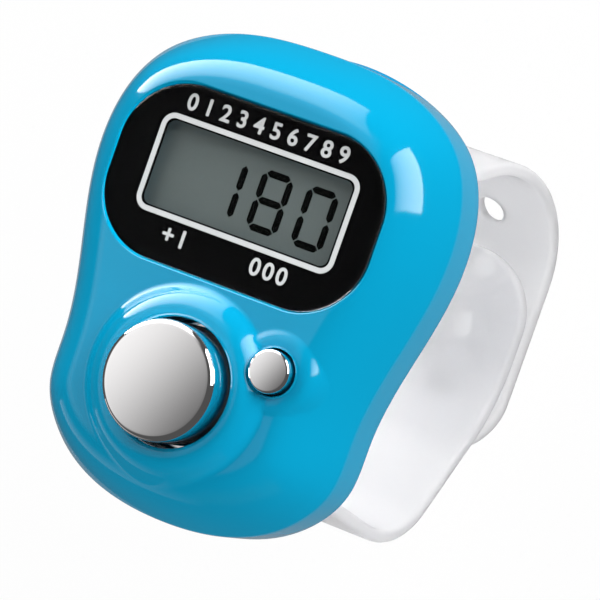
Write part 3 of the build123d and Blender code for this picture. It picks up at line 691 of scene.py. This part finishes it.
def window_pocket():
    """The pocket's rounded lip and wall, its floor with the viewing hole, and that hole's wall."""
    lip_z = front_height(window_loop(LENS_GAP + LIP_ROUND))
    rounds = quarter_round(LIP_ROUND, SIDE_STEPS)
    lip = [raise_to(window_loop(LENS_GAP + inset), lip_z - depth) for inset, depth in rounds]
    floor, faces = flat_pattern(window_loop(LENS_GAP), [view_loop()], NO_FILL)
    return [
        stack(lip + [window_loop(LENS_GAP, POCKET_Z)]),
        (raise_to(floor, POCKET_Z), faces),
        stack([view_loop(POCKET_Z), view_loop(UNDER)]),
    ]


def build_front_shell():
    """All surfaces of the shell: front, side, rim, hollow, ceiling, pocket and bores."""
    side = side_loops()
    hollow = hollow_loops()
    holes = [view_loop()] + [ring(centre, bore, steps)[:, :2] for centre, bore, _, steps in BORES]
    ceiling, faces = flat_pattern(outline_loop(CEILING_INSET), holes, NO_FILL)
    surfaces = [front_face(), stack(side), stack([hollow[0], side[0]]), stack(hollow)]
    surfaces += [(raise_to(ceiling, UNDER), faces)] + window_pocket()
    return surfaces + [bore_wall(*bore) for bore in BORES]


SHELL_BLUE = (0.0, 0.335, 0.575)
blue = moulded("blue_plastic", SHELL_BLUE, 0.05, 0.09, spread=0.03, scale=90.0, grain=1800.0, bump=0.004,
               sockets={"Specular IOR Level": 0.5, "IOR": 1.5})
front_shell = make_piece("front_shell_skin", build_front_shell(), front_normals)
wear(front_shell, blue, instead_of=["front_shell"])
paint_nodes(blue, "rear_cover")

# %% [markdown]
# ## The display window
# A clear lens sits in the pocket, with a black print behind it and a pale line round the opening. The lens
# is a stack of window outlines that close in over its rounded edge. Light has to get through it to the
# display, so its glass lets shadow rays pass.

# %% Lens, print and frame line
LENS_SEAT = 0.03
LENS_LOW_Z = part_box("window_lens")[0].z / MM + LENS_SEAT
LENS_EDGE = np.array((0.45, 0.25))
LENS_FLAT = 0.7
LENS_STEPS = 14
MASK_TOP_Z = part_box("window_mask")[1].z / MM
PRINT_THICK = 0.015
LINE_HALF = np.array((8.92, 4.0))
LINE_WIDTH = 0.42
LINE_CORNER = 1.15
LINE_STEPS = 16


def build_lens():
    """The lens: a flat underside, an upright side, an elliptical edge and a flat face."""
    turn = np.linspace(0, np.pi / 2, LENS_STEPS)
    across, down = LENS_EDGE
    side = [window_loop(-LENS_FLAT, LENS_LOW_Z), window_loop(0, LENS_LOW_Z)]
    side += [window_loop(-across * (1 - np.cos(a)), FRONT_Z - down * (1 - np.sin(a))) for a in turn]
    side.append(window_loop(-LENS_FLAT, FRONT_Z))
    caps = np.arange(len(side[0]))[None]
    return [stack(side), (side[0], caps[:, ::-1]), (side[-1], caps)]


def band(outer, inner, low, high):
    """A flat ring between two loops with a thickness."""
    return stack([raise_to(inner, low), raise_to(outer, low), raise_to(outer, high), raise_to(inner, high),
                  raise_to(inner, low)])


def build_lens_glass():
    """Clear plastic: a glassy shader for the eye, and plain see-through for shadow rays."""
    material, tree, shader = new_material("lens_plastic")
    set_sockets(shader, {"Base Color": (1, 1, 1, 1), "Transmission Weight": 1.0, "IOR": 1.49,
                         "Specular Tint": (0.04, 0.04, 0.04, 1)})
    speck = add_node(tree, "ShaderNodeTexNoise", {"Scale": 60.0}, {"Vector": object_place(tree)})
    tree.links.new(mapped(tree, speck.outputs["Fac"], (0, 1), (0, 0.015)), shader.inputs["Roughness"])
    shadow = tree.nodes.new("ShaderNodeLightPath").outputs["Is Shadow Ray"]
    through = tree.nodes.new("ShaderNodeBsdfTransparent").outputs["BSDF"]
    show_surface(tree, mix_shaders(tree, shadow, shader.outputs["BSDF"], through))
    return material


lens = make_piece("window_lens_clear", build_lens())
wear(lens, build_lens_glass(), instead_of=["window_lens"])
white_ink = moulded("white_ink", (0.47, 0.48, 0.48), 0.4, 0.55, spread=0.04, scale=900.0)
line_outer = rounded_box(VIEW_AT, *LINE_HALF, LINE_CORNER, LINE_STEPS)
line_inner = rounded_box(VIEW_AT, *(LINE_HALF - LINE_WIDTH), LINE_CORNER - LINE_WIDTH, LINE_STEPS)
line_band = band(line_outer, line_inner, MASK_TOP_Z, MASK_TOP_Z + PRINT_THICK)
frame_line = make_piece("display_frame_line", [line_band])
wear(frame_line, white_ink)

# %% [markdown]
# ## Numbers printed on the window
# The window carries a few pale marks. Here they are plain numbers: the ten digits above the display, and
# below it what each button does to the count, plus one and back to nought. The built-in font makes each
# mark, which is turned into a mesh before it is put in its place.

# %% Printed numbers
PRINTED = [  # text, middle, base line, spacing of the letters
    ("0123456789", -0.1, 11.7, 1.62),
    ("+1", -4.7, 1.3, 1.25),
    ("000", 3.95, 1.3, 1.25),
]
PRINT_HEIGHT = 1.42
PRINT_BOLD = 0.022
HALF_UNIT = 0.5


def printed_number(name, text, middle, base, spacing):
    """A text one unit thick, scaled to the print's height and thickness, lying on the black print."""
    letters = bpy.data.curves.new(name, "FONT")
    letters.body = text
    letters.space_character = spacing
    letters.offset = PRINT_BOLD
    letters.extrude = HALF_UNIT
    holder = bpy.data.objects.new(name + "_curve", letters)
    mesh = bpy.data.meshes.new_from_object(holder)
    spots = np.empty(len(mesh.vertices) * 3)
    mesh.vertices.foreach_get("co", spots)
    spots = spots.reshape(-1, 3)
    low, high = spots.min(axis=0), spots.max(axis=0)
    scale = PRINT_HEIGHT / (high[1] - low[1])
    placed = (spots - ((low[0] + high[0]) / 2, low[1], low[2])) * (scale, scale, PRINT_THICK)
    mesh.vertices.foreach_set("co", ((placed + (middle, base, MASK_TOP_Z)) * MM).ravel())
    mesh.update()
    bpy.data.objects.remove(holder)
    piece = bpy.data.objects.new(name, mesh)
    bpy.context.scene.collection.objects.link(piece)
    print(name, len(mesh.polygons), "faces,", round((high[0] - low[0]) * scale, 1), "mm wide")
    return piece


for count, printed in enumerate(PRINTED, 1):
    number = printed_number(f"printed_number_{count}", *printed)
    wear(number, white_ink)

# %% [markdown]
# ## The display
# Under the window lies the liquid crystal cell: a grey film with dark segments. Each digit is seven slim
# bars with pointed ends. One function gives the bar, and the lit bars of each digit are placed on the film
# as thin solids, so that they cast no light of their own and keep crisp edges.

# %% Segments of the display
DIGIT_SPAN = np.array((2.26, 4.36))
DIGIT_PITCH = 4.05
DIGIT_LAST = np.array((5.7, 6.98))
BAR_WIDTH = 0.57
BAR_GAP = 0.07
BAR_THICK = 0.02
BARS = {  # letter: start and end corner in shares of half the span
    "a": ((-1, 1), (1, 1)), "b": ((1, 1), (1, 0)), "c": ((1, 0), (1, -1)), "d": ((-1, -1), (1, -1)),
    "e": ((-1, 0), (-1, -1)), "f": ((-1, 1), (-1, 0)), "g": ((-1, 0), (1, 0)),
}
SHOWN = ["bc", "abcdefg", "abcdef"]


def bar(start, end):
    """One segment: a long hexagon from corner to corner, cut back by a gap, with a thickness."""
    along = (end - start) / np.linalg.norm(end - start)
    across = np.array((-along[1], along[0])) * BAR_WIDTH / 2
    first, last = start + along * BAR_GAP, end - along * BAR_GAP
    cut = along * BAR_WIDTH / 2
    loop = np.array([first, first + cut - across, last - cut - across, last, last - cut + across,
                     first + cut + across])
    low, high = raise_to(loop, CEILING_Z), raise_to(loop, CEILING_Z + BAR_THICK)
    caps = np.arange(len(loop))[None]
    return [stack([low, high]), (high, caps), (low, caps[:, ::-1])]


segments = []
for position, letters in enumerate(SHOWN):
    middle = DIGIT_LAST - np.array((DIGIT_PITCH * (len(SHOWN) - 1 - position), 0))
    for letter in letters:
        start, end = (middle + np.array(corner) * DIGIT_SPAN / 2 for corner in BARS[letter])
        segments += bar(start, end)
lit = make_piece("display_segments", segments)
dark_crystal = moulded("dark_crystal", (0.0012, 0.0014, 0.0014), 0.4, 0.55, spread=0.2, scale=600.0,
                       sockets={"Specular IOR Level": 0.0})
wear(lit, dark_crystal)

# %% [markdown]
# ## The buttons
# Both buttons are plated caps: a slightly crowned top, a rounded edge, an upright side and a flange that
# keeps them in the casing. A profile turned round the button's axis makes one, and the mirror finish shows
# the room, so the turning has many steps.

# %% Chrome caps
BUTTON_STEPS = 192
CROWN_STEPS = 24
CORNER_ROUND_STEPS = 12
FLANGE_GAP = 0.05
FLANGE_THICK = 0.8
FLANGE_TOP_Z = CEILING_Z - FLANGE_GAP
FLANGE_LOW_Z = FLANGE_TOP_Z - FLANGE_THICK
CAPS = [  # CAD node, body, middle, radius, crown, round of the edge, skin
    ("count_button", "count_key", COUNT_AT, 4.75, 0.12, 0.45, 1.0),
    ("reset_button", "reset_key", RESET_AT, 1.72, 0.04, 0.22, 0.38),
]


def cap_profile(radius, top, crown, edge, flange, skin):
    """Radius and height down a cap: crown, rounded edge, side, flange, and back up inside."""
    flat = radius - edge
    dome = [(flat * share, top + crown * (1 - share ** 2)) for share in np.linspace(0, 1, CROWN_STEPS)]
    rounds = quarter_round(edge, CORNER_ROUND_STEPS)
    corner = [(radius - inset, top - depth) for inset, depth in rounds[1:]]
    skirt = [(radius, FLANGE_TOP_Z), (radius + flange, FLANGE_TOP_Z), (radius + flange, FLANGE_LOW_Z),
             (radius - skin, FLANGE_LOW_Z), (radius - skin, top - skin), (0, top - skin)]
    return dome + corner + skirt


def build_cap(node, centre, radius, crown, edge, skin):
    """A cap whose height and flange width come from the CAD button's box."""
    low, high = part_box(node)
    flange = (high.x - low.x) / MM / 2 - radius
    profile = cap_profile(radius, high.z / MM - crown, crown, edge, flange, skin)
    return [lathe(profile, centre, BUTTON_STEPS)]


chrome = polished("chrome_plate", (0.93, 0.915, 0.915), 0.03, 0.07, bump=0.003)
for node, body, *cap_sizes in CAPS:
    cap = make_piece(f"{node}_plated", build_cap(node, *cap_sizes))
    wear(cap, chrome, body, [node])

# %% [markdown]
# ## The strap
# The strap is milky, see-through rubber in two parts. Both hang from slots in the back, lean to the right
# and lap behind the finger, where a stud goes through a hole. Each part is cut as a flat pattern with a
# round tip and its holes, and the pattern is then bent along a path of straight runs and arcs.

# %% Paths for the straps
STRAP_HALF = 6.0
STRAP_THICK = 1.1
STRAP_EDGE = 0.38
NECK_Z = 9.4
ROOT_Z = 12.6
LEAN = np.tan(np.radians(14.75))
LAP_GAP = 0.25
BEND_STEPS = 40
TAIL_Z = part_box("strap_tail")[0].z / MM + STRAP_THICK / 2
TONGUE_Z = TAIL_Z + STRAP_THICK + LAP_GAP
TAIL_TIP_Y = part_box("strap_tail")[0].y / MM


def bent_path(points, bends):
    """A table of length, place and direction along straight runs joined by arcs that touch both runs."""
    points = np.asarray(points, float)
    heading = np.diff(points, axis=0)
    heading /= np.linalg.norm(heading, axis=1, keepdims=True)
    angle = np.arctan2(heading[:, 1], heading[:, 0])
    spots, angles = [points[:1]], [angle[:1]]
    for corner, bend, before, after, way in zip(points[1:-1], bends, angle, angle[1:], heading):
        turn = (after - before + np.pi) % (2 * np.pi) - np.pi
        reach = bend * np.tan(abs(turn) / 2)
        side = np.sign(turn)
        centre = corner - way * reach + side * bend * np.array((-way[1], way[0]))
        now = before + turn * np.linspace(0, 1, BEND_STEPS)
        spots.append(centre + side * bend * np.stack([np.sin(now), -np.cos(now)], axis=1))
        angles.append(now)
    spots = np.vstack(spots + [points[-1:]])
    angles = np.unwrap(np.concatenate(angles + [angle[-1:]]))
    length = np.concatenate([[0], np.cumsum(np.linalg.norm(np.diff(spots, axis=0), axis=1))])
    return length, spots, angles


def wrap(path, pattern, height):
    """Bend a flat pattern of (length, across) along a path; height is off the middle, leaning with depth."""
    length, spots, angles = path
    along, across = pattern.T
    angle = np.interp(along, length, angles)
    y = np.interp(along, length, spots[:, 0]) - height * np.sin(angle)
    z = np.interp(along, length, spots[:, 1]) + height * np.cos(angle)
    return np.stack([across + np.maximum(NECK_Z - z, 0) * LEAN, y, z], axis=1)


print("strap leans by", round((NECK_Z - TAIL_Z) * LEAN, 2), "mm between its neck and its tail")

# %% Flat patterns for the straps
HOLE_RADIUS = 1.15
HOLE_PITCH = 5.33
HOLE_COUNT = 4
HOLE_STEPS = 48
PATTERN_STEP = 0.45
PATTERN_EDGE = 0.3
PATTERN_HOLE = 0.25
PATTERN_ROWS = np.linspace(-5.1, 5.1, 18)
PATTERN_ENDS = (0.8, 0.6)
TIP_STEPS = 60
ROOT_STEPS = 30
STRAP_EDGE_STEPS = 6
BEAD_HALF = 1.3
BEAD_HEIGHT = 1.3
BEAD_CORNER = 0.5
BEAD_ROUND = 0.3
BEAD_STEPS = 4
BEAD_CORNER_STEPS = 6


def strap_outline(total, inset):
    """A strip with a square root and a round tip, its edge moved inwards."""
    half = STRAP_HALF - inset
    straight = total - STRAP_HALF
    run = np.linspace(inset, straight, int(straight / PATTERN_STEP), endpoint=False)
    turn = np.linspace(-np.pi / 2, np.pi / 2, TIP_STEPS)
    tip = np.stack([total - STRAP_HALF + half * np.cos(turn), half * np.sin(turn)], axis=1)
    low = np.stack([run, np.full(len(run), -half)], axis=1)
    back = np.linspace(half, -half, ROOT_STEPS)[1:-1]
    root = np.stack([np.full(len(back), inset), back], axis=1)
    return np.vstack([low, tip, low[::-1] * (1, -1), root])


def hole_loop(spot, grow):
    """A hole's circle on the flat pattern, grown by a margin."""
    return ring((spot, 0), HOLE_RADIUS + grow, HOLE_STEPS)[:, :2]


def strap_fill(total, holes):
    """A grid of points on the flat pattern, clear of its edge and of its holes."""
    first, last = PATTERN_ENDS
    grid = np.meshgrid(np.arange(first, total - last, PATTERN_STEP), PATTERN_ROWS)
    fill = np.stack(grid, axis=-1).reshape(-1, 2)
    fill = fill[inside(fill, strap_outline(total, STRAP_EDGE + PATTERN_EDGE))]
    for spot in holes:
        fill = fill[away(fill, (spot, 0)) > HOLE_RADIUS + STRAP_EDGE + PATTERN_HOLE]
    return fill


def build_strap(path, holes):
    """A strap with rounded edges: two faces, and rounded walls round the outline and every hole."""
    total = path[0][-1]
    half = STRAP_THICK / 2
    rounds = [(inset, half - depth) for inset, depth in quarter_round(STRAP_EDGE, STRAP_EDGE_STEPS)]
    rounds += [(inset, -height) for inset, height in rounds[::-1]]
    surfaces = [stack([wrap(path, strap_outline(total, inset), height) for inset, height in rounds])]
    for spot in holes:
        surfaces.append(stack([wrap(path, hole_loop(spot, inset), height) for inset, height in rounds]))
    cut_outs = [hole_loop(spot, STRAP_EDGE) for spot in holes]
    flat, triangles = flat_pattern(strap_outline(total, STRAP_EDGE), cut_outs, strap_fill(total, holes))
    surfaces.append((wrap(path, flat, half), triangles))
    surfaces.append((wrap(path, flat, -half), triangles[:, ::-1]))
    return surfaces


def strap_bead(y):
    """The bead inside the casing that keeps a strap from pulling out: a rounded bar."""
    rounds = quarter_round(BEAD_ROUND, BEAD_STEPS)
    levels = [(inset, ROOT_Z + depth) for inset, depth in rounds]
    levels += [(inset, ROOT_Z + BEAD_HEIGHT - depth) for inset, depth in rounds[::-1]]
    sizes = np.array((STRAP_HALF, BEAD_HALF, BEAD_CORNER))
    boxes = [rounded_box((0, y), *(sizes - inset), BEAD_CORNER_STEPS) for inset, _ in levels]
    loops = [raise_to(box, z) for box, (_, z) in zip(boxes, levels)]
    caps = np.arange(len(loops[0]))[None]
    return [stack(loops), (loops[0], caps[:, ::-1]), (loops[-1], caps)]


# %% Upper strap with its tail
UPPER_ROOT_Y = 9.7
UPPER_SLOPE = 0.44
UPPER_BEND = 8.55
NECK_BEND = 3.0
STUD_Y = -3.2
bend_y = UPPER_ROOT_Y + UPPER_SLOPE * (NECK_Z - TAIL_Z)
upper_path = bent_path(
    [(UPPER_ROOT_Y, ROOT_Z), (UPPER_ROOT_Y, NECK_Z), (bend_y, TAIL_Z), (TAIL_TIP_Y, TAIL_Z)],
    [NECK_BEND, UPPER_BEND],
)
stud_hole = upper_path[0][-1] - (STUD_Y - TAIL_TIP_Y)
upper_holes = [stud_hole - HOLE_PITCH * step for step in range(HOLE_COUNT)]
upper = make_piece("upper_strap_and_tail", build_strap(upper_path, upper_holes) + strap_bead(UPPER_ROOT_Y))
print("upper strap length", round(upper_path[0][-1], 1), "mm, holes at", np.round(upper_holes, 1))

# %% Lower strap with its stud
LOWER_ROOT_Y = -13.2
LOWER_ELBOW = (-17.4, -7.5)
LOWER_RISE_Y = -3.5
LOWER_TIP_Y = 9.0
ELBOW_BEND = 5.0
RISE_BEND = 18.0
STUD_RADIUS = 0.85
STUD_ROUND = 0.3
STUD_SINK = 0.1
STUD_STEPS = 48
STUD_ROUND_STEPS = 7
STUD_TIP_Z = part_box("lower_strap")[0].z / MM
lower_path = bent_path(
    [(LOWER_ROOT_Y, ROOT_Z), (LOWER_ROOT_Y, NECK_Z), LOWER_ELBOW, (LOWER_RISE_Y, TONGUE_Z),
     (LOWER_TIP_Y, TONGUE_Z)],
    [NECK_BEND, ELBOW_BEND, RISE_BEND],
)
stud_profile = [(0, TONGUE_Z + STUD_SINK), (STUD_RADIUS, TONGUE_Z + STUD_SINK)]
stud_rounds = quarter_round(STUD_ROUND, STUD_ROUND_STEPS)
stud_profile += [(STUD_RADIUS - depth, STUD_TIP_Z + inset) for inset, depth in stud_rounds]
stud_profile += [(0, STUD_TIP_Z)]
lean_at_tail = (NECK_Z - TAIL_Z) * LEAN
stud = lathe(stud_profile, (lean_at_tail, STUD_Y), STUD_STEPS)
lower = make_piece("lower_strap_and_stud", build_strap(lower_path, []) + strap_bead(LOWER_ROOT_Y) + [stud])
print("lower strap length", round(lower_path[0][-1], 1), "mm")

# %% [markdown]
# ## Rubber, and how the straps ride
# Milky rubber lets part of the light through and spreads the rest inside, under a soft gloss. The lower
# strap stays with the casing. The upper strap is one piece that crosses the tail's hinge; it rides with no
# body, and its place is baked into its points.

# %% Strap finish and how the straps ride
milky = {"IOR": 1.42, "Transmission Weight": 0.6, "Subsurface Weight": 1.0,
         "Subsurface Radius": (1.0, 1.0, 1.0), "Subsurface Scale": 3.5 * MM}
rubber = moulded("milky_rubber", (0.89, 0.885, 0.90), 0.5, 0.62, spread=0.0225, scale=120.0, grain=2200.0,
                 bump=0.03, sockets=milky)
wear(lower, rubber, "casing", ["lower_strap"])
wear(upper, rubber, None, ["upper_strap", "strap_tail"])
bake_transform(upper)

# %% [markdown]
# ## Finishes for the pieces inside
# The display cell, the board, the rubber domes, the button cell and the screws keep their CAD meshes. They
# are hidden until the casing is opened or seen from behind, but each still gets the finish of the real
# thing: green board, black resin, nickel steel, grey rubber, glass and films.

# %% Inner finishes
matt = {"Specular IOR Level": 0.0}
dull = {"Specular IOR Level": 0.2}
paint_nodes(moulded("black_print", (0.001, 0.001, 0.0011), 0.5, 0.7, spread=0.3, scale=700.0, sockets=matt),
            "window_mask")
paint_nodes(moulded("adhesive_tape", (0.30, 0.30, 0.29), 0.5, 0.7, scale=500.0, bump=0.1), "window_tape")
paint_nodes(moulded("display_film", (0.078, 0.095, 0.093), 0.3, 0.4, spread=0.03, scale=120.0, sockets=dull),
            "front_polariser")
paint_nodes(moulded("cell_glass", (0.55, 0.60, 0.58), 0.02, 0.06, spread=0.02), "front_glass")
paint_nodes(moulded("cell_glass_rear", (0.50, 0.56, 0.54), 0.02, 0.06, spread=0.02), "rear_glass")
paint_nodes(polished("reflector_foil", (0.72, 0.73, 0.72), 0.25, 0.4, bump=0.05), "rear_reflector")
paint_nodes(moulded("striped_rubber", (0.16, 0.16, 0.17), 0.6, 0.8, spread=0.5, scale=4000.0),
            "zebra_connector")
paint_nodes(moulded("foam", (0.06, 0.06, 0.065), 0.85, 0.98, spread=0.4, scale=3000.0, bump=0.6),
            "foam_strip")
paint_nodes(moulded("green_board", (0.015, 0.12, 0.045), 0.3, 0.45, spread=0.25, scale=1200.0),
            "circuit_board")
paint_nodes(moulded("black_resin", (0.008, 0.008, 0.009), 0.15, 0.3, spread=0.3), "chip_glob")
paint_nodes(moulded("grey_silicone", (0.42, 0.43, 0.44), 0.5, 0.65, scale=400.0), "count_dome", "reset_dome")
paint_nodes(moulded("carbon", (0.012, 0.012, 0.012), 0.6, 0.8, spread=0.4, scale=2500.0),
            "count_pill", "reset_pill")
paint_nodes(polished("cell_steel", (0.66, 0.65, 0.63), 0.18, 0.34, bump=0.05), "button_cell")
paint_nodes(polished("spring_steel", (0.70, 0.66, 0.55), 0.2, 0.35, bump=0.05),
            "minus_contact", "plus_contact")
paint_nodes(polished("screw_steel", (0.60, 0.60, 0.60), 0.2, 0.4, bump=0.08), "case_screws", "board_screws")

# %% [markdown]
# ## The floor
# A plain pale floor lies below the counter, deep enough for the peeled tail to hang free. To the eye and
# through the lens it is white, with a small share of its own shading left, so that its shadow stays faint.
# Mirrors see only a little of that white, and other light finds plain paint. From below the floor is clear.

# %% Floor
TAIL_ROOM = 16.0
FLOOR_Z = STUD_TIP_Z - TAIL_ROOM
FLOOR_RADIUS = 64.0
FLOOR_STEPS = 128
SHADE_SHARE = 0.05
FLOOR_PAINT = 0.22
FLOOR_SEEN = 0.8
MIRROR_SHARE = 0.1


def build_floor_paint():
    """Paint mixed with a white glow, by what kind of ray meets it, on the upper side alone."""
    material, tree, shader = new_material("white_floor")
    set_sockets(shader, {"Roughness": 0.9, "Specular IOR Level": 0.0})
    rays = tree.nodes.new("ShaderNodeLightPath").outputs
    paint = mapped(tree, rays["Is Camera Ray"], (0, 1), (FLOOR_PAINT, FLOOR_SEEN))
    tree.links.new(paint, shader.inputs["Base Color"])
    mirrored = combine(tree, "MULTIPLY", rays["Is Glossy Ray"], MIRROR_SHARE)
    seen = combine(tree, "MAXIMUM", rays["Is Camera Ray"], mirrored)
    seen = combine(tree, "MAXIMUM", seen, rays["Is Transmission Ray"])
    white = combine(tree, "MULTIPLY", seen, 1 - SHADE_SHARE)
    glow = add_node(tree, "ShaderNodeEmission", {"Color": (1, 1, 1, 1), "Strength": 1.0}).outputs["Emission"]
    below = tree.nodes.new("ShaderNodeNewGeometry").outputs["Backfacing"]
    clear = tree.nodes.new("ShaderNodeBsdfTransparent").outputs["BSDF"]
    upper_side = mix_shaders(tree, white, shader.outputs["BSDF"], glow)
    show_surface(tree, mix_shaders(tree, below, upper_side, clear))
    return material


disc = ring((0, 0), FLOOR_RADIUS, FLOOR_STEPS, FLOOR_Z) * MM
floor_mesh = bpy.data.meshes.new("floor")
floor_mesh.from_pydata(disc.tolist(), [], [list(range(FLOOR_STEPS))])
floor_mesh.materials.append(build_floor_paint())
floor = bpy.data.objects.new("floor", floor_mesh)
bpy.context.scene.collection.objects.link(floor)
print("floor at", round(FLOOR_Z, 2), "mm")

# %% [markdown]
# ## The light
# Gloss and chrome look like what they mirror, so the lamps are shaped for their mirror images. Tall
# softboxes stand to the left and right of the display's top, and their images are the long highlights on
# the dome. One lamp only shines and one only lights, and a low card lifts the lower left. The room itself
# is dark, with one bright part high up on the left, which the chrome caps show. The eye sees it plain
# white, and clear pieces let a share of that white through.

# %% Softboxes
# Each row: name, bearing from +X in degrees, distance, width, bottom, top, radiance, the shares of it at the
# lamp's two ends, whether it lights surfaces, and whether it shows as a mirror image
SOFTBOXES = [
    ("softbox_left", 130.0, 320.0, 460.0, 20.0, 480.0, 4.5, (0.4, 1.0), True, True),
    ("softbox_left_shine", 130.0, 321.0, 460.0, 20.0, 480.0, 5.6, (0.0, 1.0), False, True),
    ("softbox_right", 40.0, 320.0, 300.0, 22.0, 420.0, 5.9, (1.0, 1.0), True, True),
    ("softbox_front", 285.0, 400.0, 400.0, 0.0, 300.0, 4.0, (1.0, 1.0), True, False),
    ("card_low_left", 235.0, 400.0, 420.0, -60.0, 110.0, 0.8, (1.0, 0.0), True, True),
]
FADE = (1.5, 0.1)


def add_softbox(name, bearing, distance, width, bottom, top, radiance, ends, lights, shines):
    """An upright area lamp that faces the counter's axis and fades along its height and its width."""
    lamp = bpy.data.lights.new(name, "AREA")
    lamp.shape = "RECTANGLE"
    lamp.size = width * MM
    lamp.size_y = (top - bottom) * MM
    lamp.energy = radiance * np.pi * lamp.size * lamp.size_y
    lamp.use_nodes = True
    tree = lamp.node_tree
    across = tree.nodes.new("ShaderNodeNewGeometry").outputs["Parametric"]
    split = add_node(tree, "ShaderNodeSeparateXYZ", {}, {0: across}).outputs
    by_height = mapped(tree, split["Y"], (0, 1), FADE)
    by_width = mapped(tree, split["X"], (0, 1), ends)
    graded = combine(tree, "MULTIPLY", by_height, by_width)
    tree.links.new(graded, tree.nodes["Emission"].inputs["Strength"])
    turn = np.radians(bearing)
    inward = Vector((-np.cos(turn), -np.sin(turn), 0))
    middle = Vector((0, 0, (bottom + top) / 2)) - inward * distance
    facing = inward.to_track_quat("-Z", "Y").to_matrix().to_4x4()
    holder = bpy.data.objects.new(name, lamp)
    holder.matrix_world = Matrix.Translation(middle * MM) @ facing
    holder.visible_diffuse = lights
    holder.visible_glossy = shines
    bpy.context.scene.collection.objects.link(holder)
    print(name, round(lamp.energy, 2), "watts")


for softbox in SOFTBOXES:
    add_softbox(*softbox)

# %% The room
ROOM_DARK = 0.08
ROOM_BRIGHT = 1.05
THROUGH_SHARE = 0.5
LEFTWARD = (-0.9, 0.42, 0)
LEFT_SPAN = (0.165, 0.515)
UPWARD = (0, 0, 1)
UP_SPAN = (0.5, 0.82)


def part_along(tree, direction, axis):
    """How far a direction points along an axis."""
    node = add_node(tree, "ShaderNodeVectorMath", {1: axis}, {0: direction})
    node.operation = "DOT_PRODUCT"
    return node.outputs["Value"]


def build_room(tree):
    """Dark all round and brighter to the upper left; white to the eye, and pale through clear pieces."""
    direction = tree.nodes.new("ShaderNodeTexCoord").outputs["Generated"]
    gain = (0, ROOM_BRIGHT - ROOM_DARK)
    to_left = mapped(tree, part_along(tree, direction, LEFTWARD), LEFT_SPAN, gain, "SMOOTHSTEP")
    upward = mapped(tree, part_along(tree, direction, UPWARD), UP_SPAN, (0, 1), "SMOOTHSTEP")
    glow = combine(tree, "ADD", combine(tree, "MULTIPLY", to_left, upward), ROOM_DARK)
    rays = tree.nodes.new("ShaderNodeLightPath").outputs
    through = combine(tree, "MULTIPLY", rays["Is Transmission Ray"], THROUGH_SHARE)
    seen = combine(tree, "MAXIMUM", rays["Is Camera Ray"], through)
    tree.links.new(combine(tree, "MAXIMUM", glow, seen), tree.nodes["Background"].inputs["Color"])


world = bpy.data.worlds.new("room")
bpy.context.scene.world = world
world.use_nodes = True
build_room(world.node_tree)
bpy.context.scene.view_settings.view_transform = "Standard"
print("room from", ROOM_DARK, "to", ROOM_BRIGHT)
